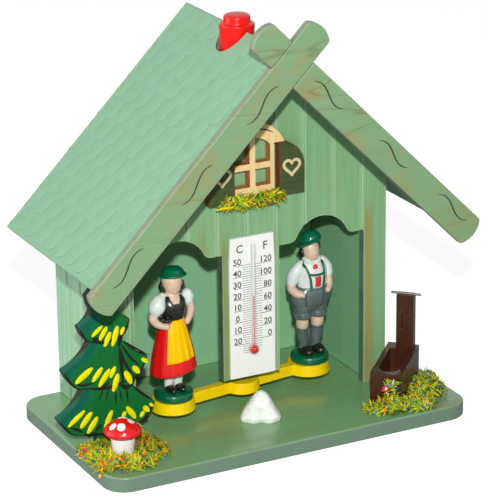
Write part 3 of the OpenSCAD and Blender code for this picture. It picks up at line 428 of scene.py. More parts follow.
class Shape:
    """Points and faces of one piece while it is put together, and its finishes by their numbers or names."""

    def __init__(self, finishes, at=None):
        self.finishes = finishes if isinstance(finishes, dict) else dict(enumerate(finishes))
        self.at, self.points, self.faces, self.kinds = at, [], [], []

    def put(self, shape, finish=0, at=None):
        """Adds points and faces. The finish is one for all, a list of them or a function of a face's middle."""
        points, faces = shape
        at = at or self.at
        start = len(self.points)
        self.points += [at(p) for p in points] if at else points
        names = list(self.finishes)
        for number, face in enumerate(faces):
            self.faces.append([start + i for i in face])
            kind = finish
            if isinstance(finish, list):
                kind = finish[number]
            elif callable(finish):
                kind = finish([sum(points[i][k] for i in face) / len(face) for k in range(3)])
            self.kinds.append(names.index(kind))
        return self

    def piece(self, name, slot, node=None, body="house", smooth=35):
        """Makes the piece. Edges sharper than an angle in degrees are shaded as edges."""
        mesh = bpy.data.meshes.new(name)
        mesh.from_pydata([[c * MM for c in p] for p in self.points], [], self.faces)
        for made in self.finishes.values():
            mesh.materials.append(made)
        mesh.polygons.foreach_set("material_index", self.kinds)
        mesh.polygons.foreach_set("use_smooth", [True] * len(self.faces))
        mesh.update()
        mesh.set_sharp_from_angle(angle=radians(smooth))
        settle(bpy.data.objects.new(name, mesh), slot, node, body)


def softened(node, finish, slot, radius, steps=2, body="house"):
    """A copy of a CAD node's mesh with its edges eased in a few steps, in the node's place."""
    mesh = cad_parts[node].data.copy()
    mesh.name = node + "_eased"
    work = bmesh.new()
    work.from_mesh(mesh)
    bmesh.ops.remove_doubles(work, verts=work.verts, dist=1e-6)
    bmesh.ops.dissolve_limit(work, angle_limit=radians(0.8), verts=work.verts, edges=work.edges)
    bmesh.ops.recalc_face_normals(work, faces=work.faces)
    work.to_mesh(mesh)
    work.free()
    mesh.materials.clear()
    mesh.materials.append(finish)
    mesh.polygons.foreach_set("material_index", [0] * len(mesh.polygons))
    mesh.polygons.foreach_set("use_smooth", [True] * len(mesh.polygons))
    mesh.set_sharp_from_angle(angle=radians(30))
    made = bpy.data.objects.new(node + "_eased", mesh)
    ease = made.modifiers.new("eased edges", "BEVEL")
    ease.width, ease.segments = radius * MM, steps
    ease.limit_method, ease.angle_limit = "ANGLE", radians(35)
    ease.use_clamp_overlap = ease.harden_normals = True
    settle(made, slot, node, body)


def refinished(node, finish):
    """Shows a CAD node itself, in another finish."""
    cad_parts[node].data.materials.clear()
    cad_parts[node].data.materials.append(finish)


def angles(n):
    return [TURN * i / n for i in range(n)]


def eased(rows, steps):
    """More rows between the given ones, on a smooth curve through them."""
    out = []
    last = len(rows) - 1
    for k in range(last):
        four = rows[max(k - 1, 0)], rows[k], rows[k + 1], rows[min(k + 2, last)]
        for t in (i / steps for i in range(steps)):
            out.append(tuple(0.5 * (2 * q + (r - p) * t + (2 * p - 5 * q + 4 * r - s) * t * t
                                    + (3 * q - p - 3 * r + s) * t ** 3) for p, q, r, s in zip(*four)))
    return out + [tuple(rows[last])]


def skin(rows):
    """Faces over rows of points, each row a closed ring of the same length, with both ends closed."""
    n, last = len(rows[0]), len(rows) - 1
    faces = [(k * n + i, k * n + (i + 1) % n, (k + 1) * n + (i + 1) % n, (k + 1) * n + i)
             for k in range(last) for i in range(n)]
    ends = [tuple(range(n))[::-1], tuple(last * n + i for i in range(n))]
    return [p for row in rows for p in row], faces + ends


def turned(sections, n=40, fold=lambda a, z: 1.0):
    """A body through oval sections (z, half width, half depth, centre x, centre y). Angle 0 is the front."""
    return skin([[(x + wide * fold(a, z) * sin(a), y - deep * fold(a, z) * cos(a), z) for a in angles(n)]
                 for z, wide, deep, x, y in sections])


def lathe(profile, n=64, x=0.0, y=0.0):
    """A turned shape from (radius, z) points."""
    return turned([(z, r, r, x, y) for r, z in profile], n)


def ball(centre, radii, n=28, rows=14, fold=lambda a, z: 1.0):
    """A rounded lump with its own half sizes."""
    tilts = [pi * (0.02 + 0.96 * k / rows) - pi / 2 for k in range(rows + 1)]
    return turned([(centre[2] + radii[2] * sin(a), radii[0] * cos(a), radii[1] * cos(a), *centre[:2])
                   for a in tilts], n, fold)


def limb(path, steps=6, n=20):
    """A round limb along points (x, y, z, radius), with rounded ends."""
    line = eased(path, steps)
    places, radii = [Vector(p[:3]) for p in line], [p[3] for p in line]
    first, last, r0, r1 = places[0], places[-1], radii[0], radii[-1]
    start, end = (first - places[1]).normalized(), (last - places[-2]).normalized()
    for share, size in ((0.55, 0.82), (0.88, 0.45)):
        places = [first + start * r0 * share, *places, last + end * r1 * share]
        radii = [r0 * size, *radii, r1 * size]
    rows = []
    up = Vector((0.3, 1.0, 0.2)).normalized()
    for k, p in enumerate(places):
        ahead = (places[min(k + 1, len(places) - 1)] - places[max(k - 1, 0)]).normalized()
        across = ahead.cross(up).normalized()
        over = across.cross(ahead)
        rows.append([p + (across * cos(a) + over * sin(a)) * radii[k] for a in angles(n)])
    return skin(rows)


# Across a raised line: share of its half width and share of its height
STROKE_SECTION = ((-1.0, -0.3), (-0.72, 0.75), (0.0, 1.0), (0.72, 0.75), (1.0, -0.3))


def stroke(path, width, height, place, taper=True, closed=False):
    """A raised line with a rounded top along (a, b) points. place(a, b, lift) puts it on its surface."""
    n, m = len(path), len(STROKE_SECTION)
    points, faces = [], []
    for k, (a, b) in enumerate(path):
        before = path[(k - 1) % n] if closed else path[max(k - 1, 0)]
        after = path[(k + 1) % n] if closed else path[min(k + 1, n - 1)]
        da, db = after[0] - before[0], after[1] - before[1]
        size = hypot(da, db) or 1.0
        half = width / 2
        if taper:
            half *= max(sin(pi * (0.04 + 0.92 * k / (n - 1))), 0.0) ** 0.5
        points += [place(a - db / size * half * s, b + da / size * half * s, height * h) for s, h in STROKE_SECTION]
    for k in range(n if closed else n - 1):
        j = (k + 1) % n
        faces += [(k * m + i, k * m + i + 1, j * m + i + 1, j * m + i) for i in range(m - 1)]
    if not closed:
        faces += [tuple(range(m)), tuple((n - 1) * m + i for i in reversed(range(m)))]
    return points, faces


def curve(a, b, c, d, steps=14):
    """Points on a curve from a to d that leaves towards b and arrives from c."""
    return [tuple((1 - t) ** 3 * p + 3 * (1 - t) ** 2 * t * q + 3 * (1 - t) * t * t * r + t ** 3 * s
                  for p, q, r, s in zip(a, b, c, d)) for t in (k / steps for k in range(steps + 1))]


def upright(face):
    """Places (x, z) with a lift on an upright surface that faces the front."""
    return lambda a, b, lift: (a, face - lift, b)


# House: base, walls, roof panels, boards and hanger block

for node, finish, slot, radius, steps in (
        ("base_plate", base_wood, "green_wood", 0.7, 3), ("front_wall", wall_wood, "green_wood", 0.25, 2),
        ("left_side_wall", lit_side_wood, "green_wood", 0.25, 2), ("right_side_wall", lit_room_wood, "green_wood", 0.25, 2),
        ("back_wall", lit_room_wood, "green_wood", 0.2, 2), ("roof_left", roof_wood, "roof_wood", 0.3, 2),
        ("roof_right", roof_wood, "roof_wood", 0.3, 2), ("barge_board_left", board_wood, "green_wood", 0.5, 3),
        ("barge_board_right", board_wood, "green_wood", 0.5, 3), ("hanger_block", block_wood, "plain_wood", 0.4, 2)):
    softened(node, finish, slot, radius, steps)

# Three scorched S-shaped lines on each board, from their upper to their lower ends (x, z)
board_lines = {
    "barge_board_left_lines": [((-5.5, 131.9), (-17.4, 120.5)), ((-30.0, 108.8), (-41.5, 97.0)),
                               ((-55.5, 84.5), (-66.9, 72.7))],
    "barge_board_right_lines": [((7.9, 131.7), (18.7, 120.6)), ((32.7, 107.5), (43.6, 96.2)),
                                ((56.2, 84.6), (67.5, 73.3))],
}
for name, ends in board_lines.items():
    lines = Shape([burnt_line])
    for high, low in ends:
        reach = (low[0] - high[0]) * 0.62
        path = curve(high, (high[0] + reach, high[1] - 1.2), (low[0] - reach, low[1] + 1.2), low, 22)
        lines.put(stroke(path, 0.62, 0.05, upright(board_face)))
    lines.piece(name, "green_wood")

# Roof shingles

SHINGLE_W, SHINGLE_T = 8.33, 0.26
# Distance from row to row, number of rows, and a shingle's length with the part under the next row
ROW_PITCH, ROWS, SHINGLE_L = 8.2, 12, 11.6
# Distance from the ridge down to the foot of the lowest row
LOWEST_FOOT = 99.1
HOLE_R = 7.4
roof_front, roof_back = roof_low.y, roof_high.y


def on_roof(side, down, y, lift):
    """A point on a roof slope, by its distance down from the ridge and its height above the panel."""
    return (side * (down + lift) * SIN45, y, roof_high.z + (lift - down) * SIN45)


def trimmed(y, down):
    """Keeps a shingle's point on the panel."""
    return min(max(y, roof_front + 0.15), roof_back - 0.55), max(down, 0.1)


def shingle_outline(middle, foot, shrink):
    """A shingle with straight sides and a round lower end, as (y, distance down) points."""
    half, deep = SHINGLE_W / 2 - 0.07 - shrink, SHINGLE_W / 2 - shrink
    round_up, top = foot - SHINGLE_W / 2, foot - SHINGLE_L
    out = [(middle - half, top + (round_up - top) * k / 4) for k in range(5)]
    out += [(middle - half * cos(pi * k / 14), round_up + deep * sin(pi * k / 14))
            for k in range(1, 14)]
    out += [(middle + half, round_up + (top - round_up) * k / 4) for k in range(5)]
    return [trimmed(*p) for p in out]


random.seed(11)
for side, name in ((-1, "roof_shingles_left"), (1, "roof_shingles_right")):
    tiles = Shape([shingle_wood, shingle_step_shade, mark_stain])
    for row in range(ROWS):
        foot = LOWEST_FOOT - ROW_PITCH * row
        start = 2.5 + SHINGLE_W / 2 * (row % 2)
        for column in range(-1, 11):
            middle = roof_back - (start + SHINGLE_W * (column - 0.5))
            if not roof_front - SHINGLE_W / 2 <= middle <= roof_back + SHINGLE_W / 2:
                continue
            thick = SHINGLE_T + random.uniform(-0.05, 0.05)
            outer, inner = (shingle_outline(middle, foot, shrink) for shrink in (0.0, 0.75))
            if any(hypot(down * SIN45, y - axis_y) < HOLE_R for y, down in outer):
                continue

            def on_shingle(y, down, lift):
                """A point above a shingle, which rises from its top to its foot."""
                rise = thick * max(down - foot + SHINGLE_L, 0.0) / SHINGLE_L
                return on_roof(side, down, y, 0.04 + rise + lift)

            n = len(outer)
            points = [on_roof(side, down, y, -0.05) for y, down in outer]
            points += [on_shingle(*p, -0.14) for p in outer] + [on_shingle(*p, 0.0) for p in inner]
            faces = [(k, k + 1, k + 1 + n, k + n) for k in range(2 * n - 1) if k != n - 1]
            faces.append(tuple(range(2 * n, 3 * n)))
            # The step faces round the shingle are painted a dimmer green as shade
            tiles.put((points, [face[::side] for face in faces]), [1] * (n - 1) + [0] * n)
            # Pressed grain marks on some shingles of every second row
            if row % 2 == 0 and random.random() < 0.6:
                for mark in (-2.7, -1.7, -0.7, 0.3, 1.3, 2.3):
                    y = middle + mark + random.uniform(-0.25, 0.25)
                    high = foot - ROW_PITCH + random.uniform(0.2, 0.8)
                    long = random.uniform(2.6, 4.4)
                    if trimmed(y, high) == (y, high):
                        tiles.put(stroke([(y, high + long * k / 4) for k in range(5)], 0.4, 0.1, on_shingle), 2)
    tiles.piece(name, "roof_wood", smooth=50)

# Chimney knob and gut string

knob_r = (knob_high.x - knob_low.x) / 2
shoulder_z = knob_high.z - 3.0
knob_profile = [(0.2, knob_low.z), (2.7, knob_low.z), (3.0, knob_low.z + 0.3)]
# Radii and heights above the shoulder
knob_profile += [(r, shoulder_z + z) for r, z in (
    (3.0, -14.0), (5.1, -14.0), (5.5, -13.6), (5.7, -10.0), (5.9, -5.0), (knob_r - 0.05, -1.4), (knob_r, -0.7),
    (knob_r - 0.12, -0.25), (knob_r - 0.5, 0.0), (4.95, 0.0), (4.72, 0.12), (4.62, 0.4), (4.6, 1.9), (4.45, 2.45),
    (4.0, 2.75), (3.0, 2.92), (1.6, 2.99), (0.1, 3.0))]
knob = Shape([red_plastic]).put(lathe(knob_profile, 72, 0.0, axis_y))
knob.piece("chimney_knob_turned", "red_plastic", "chimney_knob", "knob")

# Three twisted strands, with a twist in radians per millimetre
GUT_R, GUT_TWIST = 0.5, 1.1
gut_sections = [(gut_low.z + (gut_high.z - gut_low.z) * k / 160, GUT_R, GUT_R, 0.0, axis_y) for k in range(161)]
gut = Shape([gut_amber]).put(turned(gut_sections, 18, lambda a, z: 0.86 + 0.14 * cos(3 * (a - z * GUT_TWIST))))
gut.piece("gut_string_twisted", "gut", "gut_string", "beam")

# Beam and the figures on it

softened("figure_beam", yellow_plastic, "yellow_plastic", 0.45, 3, "beam")
# The beam's turn in the photo, and the distance of its discs from the axis
REST_TURN, BEAM_REACH = radians(8), 29.3


def at_stand(side, turn, aside):
    """Puts a figure's point on its disc of the beam. The figure has a turn of its own in degrees and may stand
    a little aside on the disc."""
    spin = Matrix.Rotation(REST_TURN + radians(turn), 3, "Z")
    spot = Vector((side * BEAM_REACH * cos(REST_TURN) + aside[0],
                   axis_y + side * BEAM_REACH * sin(REST_TURN) + aside[1], stand_z))
    return lambda p: spot + spin @ Vector(p)


def figure(stand, *names):
    """Starts a figure in its enamels, with its round foot."""
    profile = [(0.1, 0.0), (6.6, 0.0), (6.9, 0.25), (6.95, 1.2), (6.85, 2.2), (6.55, 2.75), (5.9, 3.0), (0.1, 3.05)]
    return Shape({name: figure_paint[name] for name in names}, stand).put(lathe(profile, 56), "foot")


def tilted(shape, centre, angle, axis):
    """A shape tilted about a centre by an angle in degrees."""
    spin, middle = Matrix.Rotation(radians(angle), 3, Vector(axis)), Vector(centre)
    return [middle + spin @ (Vector(p) - middle) for p in shape[0]], shape[1]


def on_body(sections):
    """Gives the places on a body by an angle in degrees, a height and a lift."""
    def place(a, z, lift):
        z_in = min(max(z, sections[0][0]), sections[-1][0])
        low, high = next(pair for pair in zip(sections, sections[1:]) if pair[0][0] <= z_in <= pair[1][0])
        t = (z_in - low[0]) / (high[0] - low[0])
        wide, deep, x, y = (p + (q - p) * t for p, q in zip(low[1:], high[1:]))
        return (x + (wide + lift) * sin(radians(a)), y - (deep + lift) * cos(radians(a)), z)
    return place


def shell(place, edges, low, high, lift, na, nz):
    """A thin layer over a body. edges(z) gives its first and last angle. Its border sinks into the body."""
    points = []
    for k in range(nz + 1):
        z = low + (high - low) * k / nz
        first, last = edges(z)
        for i in range(na + 1):
            a = first + (last - first) * i / na
            points.append(place(a, z, -0.25 if i in (0, na) or k in (0, nz) else lift(radians(a), z)))
    n = na + 1
    return points, [(k * n + i, k * n + i + 1, (k + 1) * n + i + 1, (k + 1) * n + i)
                    for k in range(nz) for i in range(na)]


def leg(sections, side):
    """Sections of a leg on one side of the figure, with more of them between the given ones."""
    return eased([(z, wide, deep, side * x, y) for z, wide, deep, x, y in sections], 4)


def centred(sections, steps):
    """Sections (z, half width, half depth) about the figure's own axis."""
    return eased([(*s, 0, 0) for s in sections], steps)


# Woman: red skirt, yellow apron, black bodice, white blouse, green hat

woman = figure(at_stand(-1, -9, (0.3, -0.15)), "foot", "black", "white", "skirt", "apron", "skin", "hat")
for side in (-1, 1):
    woman.put(ball((side * 1.8, -1.9, 4.1), (1.65, 3.3, 1.4)), "black")
    woman.put(turned(leg([(4.2, 1.5, 1.6, 1.75, 0.2), (6.0, 1.6, 1.7, 1.75, 0.2), (8.5, 1.85, 1.95, 1.75, 0.2),
                          (12.5, 2.0, 2.1, 1.7, 0.2)], side), 24), "white")
skirt_rows = centred([(10.3, 7.8, 7.3), (10.9, 8.2, 7.7), (13.5, 7.95, 7.45), (17.5, 7.3, 6.85), (21.5, 6.4, 6.0),
                      (25.0, 5.5, 5.1), (27.5, 4.7, 4.3), (29.0, 4.2, 3.8), (30.0, 4.0, 3.6)], 5)
HEM_TURN = radians(26)


def swung(p):
    """The hem of skirt and apron rises towards one side."""
    across = p[0] * cos(HEM_TURN) - p[1] * sin(HEM_TURN)
    return woman.at((p[0], p[1], p[2] + 0.15 * across * min(max((29.0 - p[2]) / 18.0, 0.0), 1.0)))


def skirt_fold(a, z):
    return 1 + 0.016 * sin(13 * a + 0.6) * max(0.0, (30.0 - z) / 19.7)


def apron_edges(z):
    low = min(max((30.2 - z) / 2.0, 0.0), 1.0)
    return -14 - 25 * low, 54 - 11 * low


def apron_fold(a, z):
    return 0.42 + 0.2 * cos(17 * a) * max(0.1, (30.3 - z) / 15.4)


woman.put(turned(skirt_rows, 104, skirt_fold), "skirt", swung)
woman.put(shell(on_body(skirt_rows), apron_edges, 14.9, 30.3, apron_fold, 72, 22), "apron", swung)
chest_rows = eased([(29.3, 4.05, 3.6, 0, 0), (31.0, 4.4, 3.95, 0, -0.1), (33.4, 4.7, 4.3, 0, -0.3),
                    (35.2, 4.8, 4.15, 0, -0.25), (36.8, 4.6, 3.5, 0, -0.1), (38.2, 3.3, 2.7, 0, 0.0),
                    (39.0, 2.4, 2.2, 0, -0.1), (40.4, 2.0, 1.9, 0, -0.2)], 8)


def chest_colour(p):
    """Black bodice with two straps, flesh in the neckline, white at the sides."""
    a = abs(degrees(atan2(p[0], -p[1])))
    if p[2] > 38.4 or a < 14 + (p[2] - 36.0) * 12 and p[2] > 36.0:
        return "skin"
    return "black" if a < 74 or p[2] < 34.6 else "white"


woman.put(turned(chest_rows, 88), chest_colour)
# Lacing knobs down the bodice and the bow at its side
for side in (-1, 1):
    for k in range(3):
        woman.put(ball((side * 1.25, -3.75 - 0.22 * k, 30.6 + 1.3 * k), (0.42, 0.42, 0.36), 12, 8), "black")
for *spot, r in ((-5.2, -1.7, 31.6, 1.15), (-4.7, -2.7, 30.5, 1.05), (-3.6, -3.6, 30.2, 0.9),
                 (-2.5, -4.1, 30.6, 0.85), (-3.4, -3.9, 31.6, 0.7)):
    woman.put(ball(spot, (r, r, r * 0.85), 20, 10, lambda a, z: 1 + 0.1 * sin(5 * a)), "black")
# Sleeves and arms
for finish, *path in (
        ("white", (-3.7, -0.2, 38.1, 1.5), (-4.7, -0.4, 37.0, 2.5), (-5.6, -0.5, 35.3, 3.05),
         (-6.3, -0.5, 33.6, 2.75), (-6.7, -0.4, 32.3, 1.9)),
        ("skin", (-6.8, -0.3, 33.0, 1.4), (-7.5, -0.4, 30.7, 1.5), (-6.6, -2.3, 29.2, 1.4),
         (-5.2, -3.7, 28.6, 1.15), (-4.0, -4.5, 28.5, 1.25)),
        ("skin", (6.9, 0.0, 34.4, 1.35), (7.0, -0.3, 31.6, 1.4), (6.2, -0.7, 29.2, 1.2), (5.1, -0.9, 27.6, 1.1))):
    woman.put(limb(path), finish)
woman.put(ball((6.1, 0.3, 36.3), (2.2, 2.4, 3.1), 36, 18,
               lambda a, z: 1 + 0.03 * sin(9 * a) + 0.02 * sin(3.1 * z)), "white")
# Head with a plain face, hair and hat
woman.put(turned(eased([(38.9, 0.8, 0.8, 0, -1.6), (39.4, 1.7, 1.7, 0, -1.3), (40.6, 2.7, 2.7, 0, -0.9),
                        (42.4, 3.4, 3.4, 0, -0.5), (44.0, 3.55, 3.55, 0, -0.25), (45.4, 3.1, 3.2, 0, 0.0),
                        (46.2, 1.5, 1.6, 0, 0.0)], 5), 44), "skin")
woman.put(ball((0.0, -3.95, 42.0), (0.4, 0.35, 0.6), 14, 8), "skin")
woman.put(ball((0.3, 1.3, 42.6), (3.7, 2.7, 3.3), 36, 16, lambda a, z: 1 + 0.03 * sin(11 * a)), "black")
for x, y in ((-3.55, 0.7), (4.0, -0.1)):
    woman.put(ball((x, y, 41.3), (0.85, 1.2, 1.75), 18, 10, lambda a, z: 1 + 0.05 * sin(4 * z)), "black")
hat = lathe([(0.1, 44.7), (4.2, 44.8), (4.65, 45.0), (4.8, 45.35), (4.65, 45.7), (4.25, 45.95), (4.0, 46.3),
             (3.75, 46.9), (3.25, 47.6), (2.4, 48.15), (1.3, 48.45), (0.1, 48.55)], 48, 0.6, 0.0)
woman.put(tilted(hat, (0.6, 0.0, 45.5), -8, (1, 0, 0)), "hat")
woman.piece("woman_figure_moulded", "painted_plastic", "woman_figure", "beam", 50)

# Man: tilted green hat, white shirt, braces, grey shorts and socks

man = figure(at_stand(1, -5, (0.65, -0.33)),
             "foot", "black", "white", "shorts", "socks", "skin", "felt", "brace", "tie")
# Socks, legs and shorts of one side: finish, points round, waves round, their depth and slant, sections
man_legs = (
    ("socks", 26, 0, 0.0, 0, ((4.8, 1.8, 1.9, 2.4, 0.2), (5.4, 2.1, 2.2, 2.4, 0.1), (6.0, 1.85, 1.95, 2.4, 0.1))),
    ("socks", 30, 10, 0.02, 0, ((5.6, 1.75, 1.85, 2.4, 0.1), (7.5, 2.0, 2.1, 2.55, 0.2), (10.0, 2.35, 2.45, 3.0, 0.3),
                                (12.0, 2.35, 2.4, 3.1, 0.2), (12.7, 2.5, 2.55, 3.1, 0.1),
                                (13.2, 2.2, 2.3, 3.1, 0.1))),
    ("skin", 26, 0, 0.0, 0, ((12.6, 2.05, 2.1, 3.1, 0.0), (14.4, 2.3, 2.5, 3.15, -0.2), (16.2, 2.3, 2.5, 3.2, -0.1),
                             (18.0, 2.4, 2.5, 3.2, 0.0))),
    ("shorts", 36, 7, 0.015, 1, ((16.7, 2.95, 3.3, 3.2, 0), (17.2, 3.3, 3.75, 3.2, 0), (18.7, 3.35, 3.8, 3.2, 0),
                                 (19.1, 3.15, 3.6, 3.2, 0), (20.8, 3.4, 4.0, 3.2, 0), (23.5, 3.6, 4.3, 3.1, 0))))
for side in (-1, 1):
    man.put(ball((side * 2.5, -1.6, 4.3), (2.25, 3.7, 1.9)), "black")
    for finish, n, waves, wave_deep, slant, sections in man_legs:
        man.put(turned(leg(sections, side), n, lambda a, z: 1 + wave_deep * sin(waves * a + slant * z)), finish)
hip_rows = eased([(20.3, 5.6, 3.8, 0.1, 0), (22.0, 7.1, 4.6, 0.2, 0), (24.0, 7.9, 4.9, 0.3, 0),
                  (26.0, 7.7, 4.9, 0.4, 0), (27.6, 6.7, 4.6, 0.6, 0), (28.6, 5.9, 4.4, 0.7, 0)], 5)
man.put(turned(hip_rows, 56), "shorts")
# Flap and waistband
man.put(shell(on_body(hip_rows), lambda z: (-38, 21), 21.6, 28.2, lambda a, z: 0.24, 20, 12), "shorts")
waist_rows = eased([(27.7, 6.0, 4.6, 0.7, 0), (28.2, 6.2, 4.85, 0.7, 0), (28.8, 5.85, 4.55, 0.7, 0)], 4)
man.put(turned(waist_rows, 48), "shorts")


def band(place, per_degree, path, width, high, finish):
    """A flat band over a body. Its width is in millimetres and its path in degrees and heights."""
    line = [(a * per_degree, z) for a, z in eased(path, 6)]
    man.put(stroke(line, width, high, lambda a, z, lift: place(a / per_degree, z, lift), False), finish)


# Seams of the flap
for seam in ([(-34, 27.4), (-33, 24.6), (-32, 21.8)], [(17, 27.4), (17, 24.6), (16, 21.8)]):
    band(on_body(hip_rows), 0.1, seam, 0.35, 0.3, "black")
shirt_rows = eased([(27.9, 5.5, 4.3, 0.7, -0.1), (30.0, 5.6, 4.55, 0.8, -0.3), (32.5, 5.6, 4.65, 0.9, -0.35),
                    (35.0, 5.5, 4.4, 0.9, -0.2), (37.0, 4.9, 3.7, 0.8, 0.0), (38.2, 3.4, 2.8, 0.6, 0.0),
                    (39.2, 2.2, 2.0, 0.4, 0.0)], 6)
man.put(turned(shirt_rows, 56, lambda a, z: 1 + 0.012 * sin(5 * a + 0.9 * z)), "white")
on_shirt = on_body(shirt_rows)
# Braces and tie
for path, width, high, finish in (
        ([(-25, 28.4), (-30, 31.0), (-38, 34.2), (-52, 36.6), (-85, 38.0)], 0.95, 0.34, "brace"),
        ([(27, 28.4), (26, 31.0), (27, 34.2), (34, 36.9), (60, 38.2)], 0.95, 0.34, "brace"),
        ([(-37, 34.0), (-16, 33.7), (6, 33.7), (26, 34.0)], 0.95, 0.36, "brace"),
        ([(-3, 33.0), (-2, 31.6), (-1, 30.2), (0, 29.2)], 2.3, 0.3, "tie")):
    band(on_shirt, radians(1) * 4.8, path, width, high, finish)
man.put(ball(on_shirt(-8, 36.4, -0.2), (1.05, 0.7, 1.0), 20, 10), "tie")
# Collar
for side in (-1, 1):
    man.put(limb([(0.3 + side * 0.7, -2.9, 37.7, 0.5), (0.4 + side * 2.3, -2.2, 38.5, 0.8),
                  (0.4 + side * 2.8, -0.4, 39.1, 0.75), (0.4 + side * 1.6, 1.7, 39.3, 0.6)], 5, 14), "white")
# His right arm, on the left as he is seen, has its elbow out. Both hands are in the pockets
for finish, *path in (
        ("white", (-3.4, 0.3, 36.6, 1.9), (-5.3, 0.6, 34.4, 2.3), (-6.4, 0.9, 32.2, 2.3), (-6.9, 0.9, 30.5, 2.0)),
        ("skin", (-6.9, 0.9, 30.4, 1.55), (-7.4, 0.2, 28.5, 1.65), (-6.7, -1.8, 27.2, 1.5), (-5.2, -3.6, 26.7, 1.3)),
        ("white", (5.3, 0.2, 36.9, 1.8), (6.8, -0.2, 35.0, 2.0), (7.3, -0.5, 33.2, 1.9), (7.4, -0.7, 31.8, 1.7)),
        ("skin", (7.3, -0.8, 31.7, 1.3), (7.3, -1.5, 29.6, 1.3), (6.6, -2.7, 27.8, 1.2), (5.4, -3.7, 26.9, 1.1))):
    man.put(limb(path), finish)
for x in (-4.6, 5.4):
    man.put(limb([(x - 1.4, -4.3, 26.4, 0.3), (x, -4.1, 25.5, 0.36), (x + 1.4, -3.4, 26.1, 0.3)], 5, 12), "shorts")
# Head with a plain face, hair and hat
man.put(turned(eased([(38.2, 0.8, 0.8, 0.3, -1.6), (38.8, 1.8, 1.8, 0.3, -1.3), (40.0, 2.65, 2.65, 0.3, -0.9),
                      (41.6, 3.05, 3.1, 0.3, -0.5), (43.4, 3.0, 3.1, 0.3, -0.25), (45.0, 2.4, 2.5, 0.3, 0.0),
                      (45.8, 1.0, 1.0, 0.3, 0.0)], 5), 44), "skin")
man.put(ball((0.3, -3.65, 41.2), (0.5, 0.4, 0.65), 14, 8), "skin")
man.put(ball((0.3, 1.2, 41.8), (3.1, 2.6, 3.3), 34, 14, lambda a, z: 1 + 0.025 * sin(10 * a)), "black")
# The black hair at the sides below the brim is partly painted shade, standing also for the shade under the brim
man.put(ball((-2.9, 0.5, 40.9), (0.85, 1.3, 1.9), 16, 10), "black")
man.put(ball((3.5, -0.3, 42.8), (0.5, 0.9, 1.3), 16, 10), "black")
HAT_LEAN = (-0.5, -0.866, 0)
brim = lathe([(0.1, 44.7), (4.2, 44.7), (4.7, 44.85), (4.85, 45.15), (4.65, 45.45), (4.1, 45.65), (0.1, 45.9)],
             48, -0.2)
man.put(tilted(tilted(brim, (0.0, 0.0, 45.2), 20, HAT_LEAN), (0.0, 0.0, 45.2), -8, (1, 0, 0)), "felt")
crown = lathe([(0.1, 45.0), (3.7, 45.1), (3.9, 45.7), (3.8, 46.6), (3.45, 47.5), (2.8, 48.2), (1.7, 48.7),
               (0.1, 48.9)], 48, 0.7, 0.1)
man.put(tilted(crown, (0.5, 0.1, 45.4), 11, HAT_LEAN), "felt")
man.piece("man_figure_moulded", "painted_plastic", "man_figure", "beam", 50)

# Thermometer

spirit_y, bulb_r = (spirit_low.y + spirit_high.y) / 2, (spirit_high.x - spirit_low.x) / 2
bulb_z = spirit_low.z + bulb_r
CARD_POINTS = 96


def card_ring(inset, y):
    """The card's outline at a depth, as points seen at even angles from the bulb's middle."""
    ring = []
    for a in angles(CARD_POINTS):
        dx, dz = sin(a), cos(a)
        to_side = ((card_high.x if dx > 0 else card_low.x) - copysign(inset, dx)) / dx if abs(dx) > 1e-6 else 1e6
        to_end = (card_high.z if dz > 0 else card_low.z) - copysign(inset, dz) - bulb_z
        reach = min(to_side, to_end / dz if abs(dz) > 1e-6 else 1e6)
        ring.append((dx * reach, y, bulb_z + dz * reach))
    return ring


def bulb_hole(r, y):
    return [(r * sin(a), y, bulb_z + r * cos(a)) for a in angles(CARD_POINTS)]


# Card with a dished place that the bulb sits in, and edges a little eased
card = Shape([card_white]).put(skin([
    card_ring(0.0, card_high.y), card_ring(0.0, card_low.y + 0.12), card_ring(0.12, card_low.y),
    bulb_hole(1.9, card_low.y), bulb_hole(1.8, card_low.y + 0.08), bulb_hole(0.2, card_low.y + 0.2)]))
card.piece("thermometer_card_cut", "white_card", "thermometer_card", smooth=30)

scale = Shape([ink])


def tick(x0, x1, z, width):
    scale.put(stroke([(x0, z), ((x0 + x1) / 2, z), (x1, z)], width, 0.02, upright(card_low.y), False))


def words(text, x, z, high, align):
    """Printed figures from the built-in font, a little bolder, standing on the card."""
    made = bpy.data.curves.new("print", "FONT")
    made.body, made.size, made.align_x, made.extrude = text, high * 1.38 * MM, align, 0.015 * MM
    made.resolution_u, made.offset = 4, 0.045 * MM
    holder = bpy.data.objects.new("print", made)
    bpy.context.scene.collection.objects.link(holder)
    bpy.context.view_layer.update()
    mesh = bpy.data.meshes.new_from_object(holder.evaluated_get(bpy.context.evaluated_depsgraph_get()))
    points = [(x + v.co.x / MM, card_low.y - 0.02 - v.co.z / MM, z + v.co.y / MM) for v in mesh.vertices]
    scale.put((points, [tuple(p.vertices) for p in mesh.polygons]))
    bpy.data.objects.remove(holder)
    bpy.data.meshes.remove(mesh)
    bpy.data.curves.remove(made)


# Celsius and Fahrenheit: height of 0, height of a degree, marks, numbered marks, ends of long and short marks,
# where the numbers stand
for zero, degree_h, marks, numbered, long_mark, short_mark, number_x, align in (
        (38.6, 0.4185, range(-28, 51, 2), 10, (-7.3, -0.6), (-3.9, -0.6), -5.9, "CENTER"),
        (31.4, 0.2318, range(-12, 121, 4), 20, (0.9, 7.6), (0.9, 3.8), 7.5, "RIGHT")):
    for degree in marks:
        z = zero + degree_h * degree
        if degree % numbered == 0:
            tick(*long_mark, z, 0.2)
            words(str(abs(degree)), number_x, z + 0.35, 2.3, align)
        else:
            tick(*short_mark, z, 0.17)
words("C", -4.9, 64.3, 2.9, "CENTER")
words("F", 5.0, 64.3, 2.9, "CENTER")
scale.piece("thermometer_scale_print", "white_card", smooth=20)

refinished("thermometer_tube", tube_glass)
